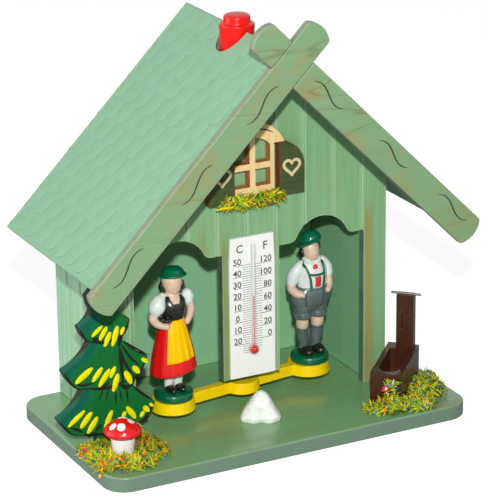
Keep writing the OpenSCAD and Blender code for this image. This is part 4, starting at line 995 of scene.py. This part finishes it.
# The spirit fills the bulb and a thin bore up to about 17 degrees Celsius
neck_z = spirit_low.z + 2 * bulb_r
spirit_profile = [(max(bulb_r * sin(pi * k / 20), 0.02), bulb_z - bulb_r * cos(pi * k / 20))
                  for k in range(19)]
spirit_profile += [(0.3, neck_z + 0.1), (0.2, neck_z + 1.0), (0.2, spirit_high.z - 0.2), (0.15, spirit_high.z - 0.05),
                   (0.02, spirit_high.z)]
spirit = Shape([spirit_red, spirit_thread])
spirit.put(lathe(spirit_profile, 40, 0.0, spirit_y), lambda p: 1 if p[2] > neck_z + 0.2 else 0)
spirit.piece("thermometer_spirit_column", "red_spirit", "thermometer_spirit")

# Window, shutters and hearts

softened("window_frame", window_ply, "plain_wood", 0.15)
softened("left_shutter", shutter_ply, "dark_green_wood", 0.2)
softened("right_shutter", shutter_ply, "dark_green_wood", 0.2)
for name, middle in (("left_shutter_heart", -12.4), ("right_shutter_heart", 14.4)):
    heart = [(middle + 3.1 * sin(t) ** 3, 93.4 + 2.75 / 14.5 * (13 * cos(t) - 5 * cos(2 * t)
                                                                      - 2 * cos(3 * t) - cos(4 * t)))
             for t in angles(56)]
    inlay = Shape([heart_wood]).put(stroke(heart, 1.15, 0.06, upright(window_face), False, True))
    inlay.piece(name, "plain_wood")
# A thin dark line across the lintel, drawn in the dark colour of the scorched lines on the boards
lintel_line = curve((0.6, 108.3), (2.9, 108.7), (4.8, 108.3), (7.1, 106.7), 20)
burnt = Shape([burnt_line]).put(stroke(lintel_line, 0.55, 0.04, upright(window_face)))
burnt.piece("window_lintel_line", "plain_wood")

# Dyed flakes: a glued bed with some hundred strands on it

BASE_HALF_X, BASE_HALF_Y = (base_high.x - base_low.x) / 2, (base_high.y - base_low.y) / 2
BASE_CORNER = 9.5
DYES = list(flakes)[1:]
# These are short crumbs
CRUMBS = ("red", "blue", "dark green")
# Along a strand: share of its length and share of its width
STRAND_SECTIONS = ((0.0, 0.5), (0.35, 1.0), (0.7, 0.85), (1.0, 0.15))


def on_base(x, y):
    """Whether a place is on the base plate, clear of its rounded corners."""
    dx = max(abs(x) - (BASE_HALF_X - BASE_CORNER), 0.0)
    dy = max(abs(y) - (BASE_HALF_Y - BASE_CORNER), 0.0)
    return hypot(dx, dy) < BASE_CORNER - 0.4


def strands_on(shape, surface, count, seed, longest, mix):
    """Slender bent strands laid at random over a bed. surface() gives a point and an outward direction, and mix
    the share of each dye."""
    dice = random.Random(seed)
    for _ in range(count):
        point, out = surface(dice)
        across = Vector((dice.gauss(0, 1), dice.gauss(0, 1), dice.gauss(0, 1)))
        along = (out * dice.uniform(-0.1, 0.85) + across.cross(out).normalized()).normalized()
        wide = along.cross(out).normalized()
        up = wide.cross(along)
        long = dice.uniform(0.35, 1.0) * longest
        half = dice.uniform(0.16, 0.38)
        dye = dice.choices(DYES, mix)[0]
        if dye in CRUMBS:
            long, half = long * 0.55, half * 1.3
        bend = dice.uniform(-0.25, 0.35) * long
        rows = []
        for t, w in STRAND_SECTIONS:
            mid = point + along * long * (t - 0.3) + up * (bend * t * t + 0.15)
            rows.append((mid - wide * half * w, mid + up * half * 0.55 * w, mid + wide * half * w,
                         mid - up * half * 0.3 * w))
        shape.put(skin(rows), dye)


def heap(x, y, wide, high, cut, n=44, rows=10):
    """A low lumpy mound of glue and moss on the base, cut straight where it meets a wall or a side."""
    sections = []
    for t in (k / rows for k in range(rows + 1)):
        r = wide * cos(t * pi / 2 * 0.97)
        z = base_top + high * sin(t * pi / 2)
        row = []
        for a in angles(n):
            lump = 1 + 0.12 * noise.noise(Vector((x + 3 * sin(a), y - 3 * cos(a), z * 0.7)))
            row.append((*cut(x + r * lump * sin(a), y - r * lump * cos(a)), z))
        sections.append(row)
    return skin(sections)


# Patch round the mushroom: thin at the stem and at its ragged rim
mush_x, mush_y = (cap_low.x + cap_high.x) / 2, (cap_low.y + cap_high.y) / 2
PATCH_R = 16.5
# Where the flakes along the base's left rim begin, how far back they go and where the fir's heap begins
RIM_FRONT, RIM_BACK, RIM_HEAP = -32.0, -11.2, -19.5


def patch_cut(x, y):
    return max(x, 1.0 - BASE_HALF_X), min(max(y, 1.0 - BASE_HALF_Y), fir_low.y - 0.2)


def patch_surface(dice):
    while True:
        a, r = dice.uniform(0, TURN), PATCH_R * dice.uniform(0.05, 1) ** 0.6
        x, y = mush_x + r * sin(a), mush_y - r * cos(a)
        ragged = 14.2 + 3.4 * noise.noise(Vector((2.2 * sin(a), 2.2 * cos(a), 5.0)))
        if y < fir_low.y - 0.9 and 4.9 < r < ragged + 2.2 * dice.uniform(0, 1) ** 2 and on_base(x, y):
            break
    height = 0.5 + 1.7 * sin(pi * min(max((r - 3.8) / 12.5, 0.0), 1.0))
    lean = Vector((0.5 * sin(a), -0.5 * cos(a), 1.0)).normalized()
    return Vector((x, y, base_top + height * dice.uniform(0.5, 1.0))), lean


def rim_surface(dice):
    """Places along the left rim of the base, where the flakes hang over its edge and are heaped by the fir."""
    y = dice.uniform(RIM_FRONT, RIM_BACK)
    turn = max(-y - (BASE_HALF_Y - BASE_CORNER), 0.0)
    edge = BASE_CORNER - BASE_HALF_X - sqrt(BASE_CORNER ** 2 - turn ** 2)
    reach, high = (5.5, 2.2) if y > RIM_HEAP else (3.6, 1.3)
    inward = dice.uniform(-0.2, reach)
    z = dice.uniform(0.2, high) if inward > 0.3 else dice.uniform(-0.8, 0.4)
    return Vector((edge + inward, y, base_top + z)), Vector((-0.6, -0.25, 0.75)).normalized()


patch = Shape(flakes).put(heap(mush_x, mush_y, 13.0, 0.9, patch_cut), "bed")
strands_on(patch, patch_surface, count=1450, seed=3, longest=4.4, mix=(31, 19, 18, 8, 10, 9, 9))
strands_on(patch, rim_surface, count=420, seed=18, longest=3.6, mix=(26, 16, 15, 13, 15, 10, 5))
patch.piece("mushroom_flowers_strands", "dyed_flakes", "mushroom_flowers", smooth=60)

# Clump of flakes along the window sill
sill_x, sill_z = (sill_low.x + sill_high.x) / 2, (sill_low.z + sill_high.z) / 2
sill_half = (sill_high.x - sill_low.x) / 2
sill_y = window_face


def sill_bed():
    rows = []
    for k in range(25):
        t = -1 + 2 * k / 24
        size = sqrt(max(1 - t ** 4, 0.02))
        x = sill_x + t * (sill_half - 1.2)
        row = []
        for a in (pi * i / 17 for i in range(18)):
            lump = size * (1 + 0.12 * noise.noise(Vector((t * 9, a * 2, 1.0))))
            row.append((x, sill_y + 0.5 - 1.9 * lump * sin(a), sill_z - 0.5 + 2.2 * lump * cos(a)))
        rows.append(row + [(x, sill_y + 1.2, row[-1][2]), (x, sill_y + 1.2, row[0][2])])
    return skin(rows)


def sill_surface(dice):
    t, a = dice.uniform(-1, 1), pi * dice.uniform(0.02, 0.98)
    size = sqrt(max(1 - t ** 4, 0.05)) * (1 + 0.25 * noise.noise(Vector((t * 5, 3.0, 1.0))))
    out = Vector((0.4 * t, -sin(a), cos(a))).normalized()
    return Vector((sill_x + t * (sill_half - 1.0), sill_y + 0.4 - 2.0 * size * sin(a),
                   sill_z - 0.4 + 2.3 * size * cos(a))), out


sill = Shape(flakes).put(sill_bed(), "bed")
strands_on(sill, sill_surface, count=400, seed=5, longest=3.7, mix=(32, 28, 10, 4, 9, 8, 10))
# One long yellow strand sticks out at the left end
long_strand = ((-1.2, -1.3, -1.4, 0.2), (1.4, -1.7, -1.1, 0.5), (4.0, -1.5, -1.3, 0.3))
sill.put(limb([(sill_low.x + x, sill_y + y, sill_z + z, r) for x, y, z, r in long_strand], 5, 8), "yellow")
sill.piece("window_flowers_strands", "dyed_flakes", "window_flowers", smooth=60)

# Heaps against the trough's front and right faces, in the trough's own axes: place, radius and height
TROUGH_X, TROUGH_Y, TROUGH_W = 37.4, -24.0, 11.5
trough_heaps = [(4.0, -4.5, 4.5, 1.6), (9.0, -2.5, 6.3, 4.2), (16.4, 4.2, 6.6, 3.6), (16.6, 14.5, 7.4, 5.6),
                (14.6, 22.5, 5.0, 5.2)]


def at_trough(x, y):
    """From the trough's own axes to the frame's: it stands turned by 45 degrees."""
    return TROUGH_X + (x + y) * SIN45, TROUGH_Y + (y - x) * SIN45


def trough_cut(x, y):
    """Keeps the heaps outside the trough's front and right faces and on the base."""
    a = ((x - TROUGH_X) - (y - TROUGH_Y)) * SIN45
    b = ((x - TROUGH_X) + (y - TROUGH_Y)) * SIN45
    if b > -0.05 and a < TROUGH_W:
        if TROUGH_W - a < b + 0.05:
            a = TROUGH_W
        else:
            b = -0.05
    x, y = at_trough(a, b)
    return min(x, BASE_HALF_X - 1.0), max(y, 0.8 - BASE_HALF_Y)


def trough_surface(dice):
    while True:
        x, y, r, h = dice.choices(trough_heaps, (2, 3, 4, 4, 2))[0]
        a, d = dice.uniform(0, TURN), r * sqrt(dice.uniform(0, 1))
        px, py = at_trough(x, y)
        px, py = px + d * sin(a), py - d * cos(a)
        if trough_cut(px, py) == (px, py) and on_base(px, py):
            break
    lean = Vector((sin(a) * d / r, -cos(a) * d / r, 0.8)).normalized()
    return Vector((px, py, base_top + h * 0.9 * sqrt(max(1 - (d / r) ** 2, 0.02)))), lean


heaps = Shape({**flakes, "white": spot_white})
for x, y, r, h in trough_heaps:
    heaps.put(heap(*at_trough(x, y), r * 0.82, h * 0.62, trough_cut), "bed")
strands_on(heaps, trough_surface, count=1500, seed=8, longest=3.8, mix=(36, 20, 13, 4, 6, 16, 6))
# A sprig that leans on the trough's front, and one red flower on a thin stem
dice = random.Random(21)
SPRIG_DYES = ("yellow green",) * 3 + ("leaf green",) * 2 + ("yellow", "blue", "dark green", "white")
for _ in range(64):
    z = base_top + 2.2 + 8.4 * dice.uniform(0, 1) ** 1.3
    mid = Vector((*at_trough(dice.uniform(5.8, 10.6), dice.uniform(-1.9, -0.7)), z))
    lean = dice.uniform(-1.5, 1.5)
    along = Vector((sin(lean) * SIN45, -sin(lean) * SIN45, cos(lean))) * dice.uniform(0.7, 1.9)
    bulge = (*(mid + Vector((-0.2, -0.2, 0.0))), dice.uniform(0.2, 0.34))
    heaps.put(limb([(*(mid - along), 0.14), bulge, (*(mid + along), 0.1)], 4, 6), dice.choice(SPRIG_DYES))
x, y = at_trough(6.0, -1.7)
stalk = [(x, y, base_top + 1.0, 0.2), (x - 0.2, y - 0.2, base_top + 4.0, 0.18), (x, y, base_top + 7.0, 0.2)]
heaps.put(limb(stalk, 4, 8), "leaf green")
for a in angles(6):
    petal = (x + 0.75 * sin(a), y - 0.3, base_top + 7.3 + 0.75 * cos(a))
    heaps.put(ball(petal, (0.72, 0.5, 0.72), 12, 8), "red")
# Painted highlight: a white dab at the front of the red flower
heaps.put(ball((x, y - 0.6, base_top + 7.4), (0.6, 0.5, 0.6), 12, 8), "white")
heaps.piece("trough_flowers_strands", "dyed_flakes", "trough_flowers", smooth=60)

# Fir tree with its painted strokes

softened("fir_tree", fir_green, "fir_paint", 0.35)
on_fir = upright(fir_low.y)
# Brush strokes from their lower to their upper ends (x, z), with their widths
yellow_strokes = [
    (-62.7, 45.4, -58.7, 48.6, 1.7), (-59.9, 43.6, -57.0, 48.0, 2.0), (-58.1, 41.0, -55.8, 45.9, 2.1),
    (-55.2, 40.6, -53.1, 47.6, 2.3), (-51.9, 44.1, -50.8, 46.8, 1.7), (-69.2, 29.6, -62.8, 34.2, 2.5),
    (-63.0, 29.0, -59.2, 33.6, 2.1), (-60.6, 26.8, -56.4, 32.5, 2.3), (-56.3, 29.2, -54.4, 33.1, 1.9),
    (-55.4, 24.0, -53.4, 30.2, 2.4), (-48.6, 25.6, -50.8, 30.6, 2.4), (-45.5, 28.8, -47.8, 31.8, 2.1),
    (-42.3, 32.1, -44.4, 34.0, 1.7), (-72.4, 14.4, -66.2, 19.2, 2.0), (-67.9, 13.0, -63.6, 18.1, 2.4),
    (-65.4, 10.5, -61.5, 15.9, 2.3), (-59.0, 11.0, -56.0, 17.2, 2.1), (-52.2, 13.4, -51.1, 15.8, 1.8),
    (-47.4, 12.4, -50.6, 17.4, 2.2), (-45.5, 12.4, -44.1, 14.5, 1.7), (-42.2, 13.9, -44.2, 16.2, 2.0),
    (-40.5, 15.5, -41.9, 16.8, 1.3)]
dabs = Shape([stroke_yellow])
for x0, z0, x1, z1, width in yellow_strokes:
    wide, high = x1 - x0, z1 - z0
    path = curve((x0, z0), (x0 + 0.3 * wide + 0.048 * high, z0 + 0.35 * high),
                 (x0 + 0.7 * wide, z0 + 0.68 * high), (x1, z1), 12)
    dabs.put(stroke(path, width, 0.2, on_fir))
dabs.piece("fir_tree_yellow_strokes", "fir_paint")

# Edges of the fir's front face, taken from its CAD mesh
fir_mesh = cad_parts["fir_tree"].data
fir_points = [(v.co.x / MM, v.co.z / MM) for v in fir_mesh.vertices]
fir_edges = [(fir_points[i], fir_points[j]) for face in fir_mesh.polygons if face.normal.y < -0.9
             for i, j in face.edge_keys]


def fir_edge(z, side):
    """Where the fir's front face ends at a height, on its left (-1) or on its right (1)."""
    return side * max(side * (a[0] + (b[0] - a[0]) * (z - a[1]) / (b[1] - a[1])) for a, b in fir_edges
                      if min(a[1], b[1]) <= z < max(a[1], b[1]))


# Dark branch lines and dabs between the yellow strokes: start, middle, end (x, z) and width
dark_lines = [
    (-62.3, 44.8, -61.0, 43.9, -59.6, 43.3, 2.0), (-51.7, 44.8, -52.4, 42.9, -52.9, 40.0, 2.0),
    (-52.0, 40.8, -49.1, 35.5, -45.0, 31.3, 1.1), (-52.6, 39.8, -51.1, 34.1, -48.3, 29.1, 1.2),
    (-52.7, 39.4, -52.1, 33.7, -51.6, 26.6, 1.6), (-69.3, 29.5, -66.4, 28.2, -61.9, 28.7, 1.0),
    (-59.9, 26.2, -58.4, 26.7, -56.9, 27.8, 1.4), (-52.6, 25.9, -50.7, 24.5, -48.5, 24.7, 2.0),
    (-54.6, 24.0, -54.5, 21.5, -54.5, 19.2, 0.8), (-57.0, 25.8, -57.5, 23.4, -58.3, 21.0, 0.6),
    (-50.4, 24.8, -50.2, 21.9, -49.9, 18.6, 0.8), (-53.0, 24.4, -52.6, 22.0, -52.4, 19.8, 0.6),
    (-59.1, 25.9, -59.8, 23.8, -61.0, 21.5, 0.6), (-48.6, 25.2, -45.4, 21.8, -42.1, 19.3, 1.0),
    (-71.8, 13.9, -69.5, 13.0, -67.0, 11.2, 1.1), (-62.5, 11.0, -61.3, 11.9, -60.0, 12.9, 1.2),
    (-66.3, 10.6, -64.8, 9.4, -62.5, 10.4, 1.2), (-45.3, 10.9, -43.9, 11.3, -42.4, 12.1, 1.7),
    (-51.2, 41.8, -48.4, 39.4, -41.8, 34.8, 0.7), (-48.0, 28.9, -47.1, 27.9, -48.5, 25.0, 1.2)]
fir_x = (fir_low.x + fir_high.x) / 2
darks = Shape([fir_black])
for *spots, width in dark_lines:
    start, middle, end = spots[:2], spots[2:4], spots[4:]
    darks.put(stroke(curve(start, middle, middle, end, 14), width, 0.07, on_fir))
# Tiers from the top: height of the neck above, height of the tip, half width and height of the neck below
tiers = [(54.5, 49.1, 5.8, 43.5), (43.5, 34.4, 8.9, 26.9), (26.9, 17.2, 10.1, 10.1)]
for above, tip, neck_w, below in tiers:
    for side in (-1, 1):
        heights = [tip - 0.3 + (below - tip + 0.5) * k / 12 for k in range(13)]
        darks.put(stroke([(fir_edge(z, side) - side * 0.45, z) for z in heights], 0.9, 0.07, on_fir))
    low, reach = (fir_x, below - 1.6), neck_w + 0.2
    lower_edge = curve((fir_x - reach, below + 0.4), low, low, (fir_x + reach, below + 0.4), 16)
    darks.put(stroke(lower_edge, 1.2, 0.06, on_fir))
darks.piece("fir_tree_dark_lines", "fir_paint")
# Blue green shading along the left flank of each tier, brushed into the green
flanks = Shape([fir_blend, fir_teal])
for above, tip, neck_w, below in tiers:
    for finish, wide, lift in ((0, 5.6, 0.03), (1, 3.7, 0.05)):
        rows = []
        for t in (k / 18 for k in range(19)):
            z = above - 0.3 + (tip - 2.2 - above) * t
            x = fir_edge(z, -1) + 0.3
            x1 = x + wide * (0.5 + 0.5 * sin(pi * (0.1 + 0.8 * t))) * min(1.0, 0.15 + 5.0 * (1 - t))
            rows.append([on_fir(x, z, -0.02), on_fir(x, z, lift), on_fir(x1, z, lift), on_fir(x1, z, -0.02)])
        flanks.put(skin(rows), finish)
    # The paint runs over the side of each left tip
    rows = []
    front = fir_low.y + 0.1
    for t in (k / 8 for k in range(9)):
        z = tip + 0.15 + (above - tip) * 0.75 * t
        x = fir_edge(z, -1)
        back = fir_low.y + 0.3 + (fir_high.y - fir_low.y - 0.5) * (1 - t ** 1.6)
        rows.append([(x - 0.06, front, z + 0.05), (x - 0.06, back, z + 0.05), (x + 0.1, back, z),
                     (x + 0.1, front, z)])
    flanks.put(skin(rows), 1)
flanks.piece("fir_tree_flank_shading", "fir_paint")

# Mushroom

cap_r = (cap_high.x - cap_low.x) / 2
cap_rim = cap_low.z + 1.9
stem_profile = [(0.1, 0.0), (3.6, 0.0), (3.75, 0.3), (3.85, 1.6), (4.0, 3.6), (4.2, 5.2)]
stem_profile = [(r, stem_low.z + z) for r, z in stem_profile] + [(4.35, stem_high.z - 0.1), (0.1, stem_high.z)]
stem = Shape([stem_white]).put(lathe(stem_profile, 48, mush_x, mush_y))
stem.piece("mushroom_stem_turned", "white_paint", "mushroom_stem")


def cap_radius(z):
    """Radius of the cap at a height above its rim: a dome that is nearly a cone."""
    t = min(max((z - cap_rim) / (cap_high.z - cap_rim), 0.0), 1.0)
    return cap_r * max(1 - t ** 1.45, 0.0) ** 0.72


cap_profile = [(0.1, 0.6), (cap_r - 3.4, 0.2), (cap_r - 1.9, 0.35), (cap_r - 0.7, 0.9), (cap_r - 0.15, 1.5)]
cap_profile = [(r, cap_low.z + z) for r, z in cap_profile]
for k in range(2, 29):
    z = cap_rim + (cap_high.z - cap_rim) * sin(pi / 2 * k / 28)
    cap_profile.append((max(cap_radius(z), 0.08), z))
cap = Shape([cap_red]).put(lathe(cap_profile, 72, mush_x, mush_y))
cap.piece("mushroom_cap_turned", "red_paint", "mushroom_cap")
dots = Shape([spot_white])
# White dabs: bearing in degrees (0 at the front, positive to the right), height on the cap, half width, half height
for bearing, t, wide, high in (
        (-31, 0.75, 1.45, 1.8), (-76, 0.71, 1.2, 1.6), (60, 0.84, 1.4, 1.4), (-19, 0.46, 0.5, 0.5),
        (150, 0.96, 1.6, 1.0), (90, 0.4, 1.2, 1.1), (160, 0.45, 1.3, 1.1), (-150, 0.45, 1.2, 1.1)):
    z = cap_low.z + (cap_high.z - cap_low.z) * t
    a = radians(bearing)
    r = cap_radius(z)
    slope = (cap_radius(z + 0.1) - cap_radius(z - 0.1)) / 0.2
    out = Vector((sin(a), -cos(a), -slope)).normalized()
    across = Vector((cos(a), sin(a), 0.0))
    over = out.cross(across)
    centre = Vector((mush_x + r * sin(a), mush_y - r * cos(a), z))
    rows = []
    for size, lift in ((1.0, -0.25), (0.97, 0.06), (0.8, 0.13), (0.45, 0.17), (0.05, 0.18)):
        row = []
        for b in angles(26):
            u, v = wide * size * cos(b), high * size * sin(b)
            # The dab follows the dome's curve
            sag = (u * u + v * v) / (2 * cap_r)
            row.append(centre + across * u + over * v + out * (lift - sag))
        rows.append(row)
    dots.put(skin(rows))
dots.piece("mushroom_cap_dabs", "white_paint")

# White pebble

# Its outline as it is seen from the front corner: heights above the base with the ends on the left and on the right
stone_rows = [(0.0, -6.9, 6.7), (0.5, -7.0, 7.0), (1.4, -6.9, 7.15), (2.6, -6.4, 6.7), (4.0, -5.7, 5.8),
              (5.6, -4.6, 4.9), (7.2, -3.5, 4.1), (8.6, -2.6, 3.3), (9.7, -1.8, 2.5), (10.3, -1.1, 1.7),
              (10.65, -0.4, 0.9), (10.75, 0.1, 0.3)]
stone_turn = Matrix.Rotation(radians(-27), 3, "Z")
stone_foot = Vector((*((stone_low + stone_high) / 2).xy, stone_low.z))
rows = []
for z, left, right in eased(stone_rows, 3):
    deep = 4.1 * sqrt(max(1 - (z / 10.9) ** 2.2, 0.001)) * (0.9 + 0.1 * min(z / 1.5, 1.0))
    row = []
    for a in angles(60):
        # Flattened sides with soft ridges between them
        s, c = sin(a), -cos(a)
        across = (left + right) / 2 + (right - left) / 2 * copysign(abs(s) ** 0.9, s)
        toward = deep * copysign(abs(c) ** 0.75, c)
        lump = noise.noise(Vector((across * 0.42 + 3.0, toward * 0.42, z * 0.36)))
        toward += 0.75 * lump * min((10.8 - z) / 3, 1.0)
        if toward < 0:
            # A crease between two lobes of its front
            toward += 1.3 * exp(-((across - 0.5) / 1.2) ** 2) * max(1 - z / 8.0, 0.0)
        row.append(stone_foot + stone_turn @ Vector((across, toward, z)))
    rows.append(row)
Shape([quartz_white]).put(skin(rows)).piece("white_stone_tumbled", "quartz", "white_stone", smooth=60)

# Trough, post and pin

softened("water_trough", brown_plastic, "brown_plastic", 0.45, 3)
softened("well_post", brown_plastic, "brown_plastic", 0.5, 3)
refinished("post_pin", steel_wire)

# Floor, light and camera

WHITE = linear("#ffffff")
FLOOR_R = 2.5
floor_mesh = bpy.data.meshes.new("studio_floor")
rim = [(FLOOR_R * cos(a), FLOOR_R * sin(a), 0.0) for a in angles(64)]
floor_mesh.from_pydata(rim, [], [tuple(range(len(rim)))])
floor = bpy.data.objects.new("studio_floor", floor_mesh)
bpy.context.scene.collection.objects.link(floor)
# White paper: it keeps the shadow, and to the eye its lit part is as white as the background
paper, tree, place = new_finish("white studio paper", Roughness=0.9, Emission_Color=WHITE)
grain = add(tree, "TexNoise", {"Vector": place, "Scale": 40.0, "Detail": 3.0})
tone = add(tree, "Mix", {0: grain, 6: linear("#c4c4c4"), 7: linear("#c0c0c0")}, 2, data_type="RGBA")
seen = add(tree, "LightPath", socket="Is Camera Ray")
lift = add(tree, "Math", {0: seen, 1: 0.8}, operation="MULTIPLY")
floor_mesh.materials.append(shaded(paper, Base_Color=tone, Emission_Strength=lift))

# The background is white to the eye and in reflections, and gives only a little fill light
FILL_LIGHT = 0.13
world = bpy.data.worlds.new("white studio")
bpy.context.scene.world = world
world.use_nodes = True
sky = world.node_tree
rays = add(sky, "LightPath").node.outputs
seen = rays["Is Camera Ray"]
for ray in ("Is Glossy Ray", "Is Transmission Ray"):
    seen = add(sky, "Math", {0: seen, 1: rays[ray]}, operation="MAXIMUM")
level = add(sky, "MapRange", {0: seen, 3: FILL_LIGHT, 4: 1.0})
sky.nodes["Background"].inputs["Color"].default_value = WHITE
sky.links.new(level, sky.nodes["Background"].inputs["Strength"])

HOUSE_MIDDLE = Vector((2.999, 4.9937, 60.2612))


def placed(name, data, azimuth, elevation, roll, distance):
    """A lamp or a camera that faces the house from an azimuth and an elevation, at a distance in millimetres."""
    a, e, r = radians(azimuth), radians(elevation), radians(roll)
    back = Vector((sin(a) * cos(e), -cos(a) * cos(e), sin(e)))
    right = Vector((cos(a), sin(a), 0.0))
    up = back.cross(right)
    x, y = right * cos(r) + up * sin(r), up * cos(r) - right * sin(r)
    spot = (HOUSE_MIDDLE + back * distance) * MM
    made = bpy.data.objects.new(name, data)
    made.matrix_world = Matrix([(*row, s) for row, s in zip(zip(x, y, back), spot)] + [(0, 0, 0, 1)])
    bpy.context.scene.collection.objects.link(made)
    return made


def lamp(name, azimuth, elevation, distance, width, power):
    """A soft square lamp that faces the house."""
    made = bpy.data.lights.new(name, "AREA")
    made.size, made.energy = width, power
    placed(name, made, azimuth, elevation, 0.0, distance)


# One lamp just above the camera, as the shadows under the arches show
lamp("camera lamp", azimuth=-26.6, elevation=25.1, distance=950.0, width=0.02, power=7.6)
# A broad weak one on the left, which lights the roof and the left side
lamp("left lamp", azimuth=-106.0, elevation=14.0, distance=1300.0, width=0.9, power=6.8)

view = bpy.data.cameras.new("camera")
view.lens, view.sensor_width = 189.84, 36.0
view.clip_start, view.clip_end = 0.05, 20.0
bpy.context.scene.camera = placed("camera", view, azimuth=-27.1407, elevation=19.7515, roll=-0.7023,
                                  distance=923.3896)
bpy.context.scene.view_settings.view_transform = "Standard"
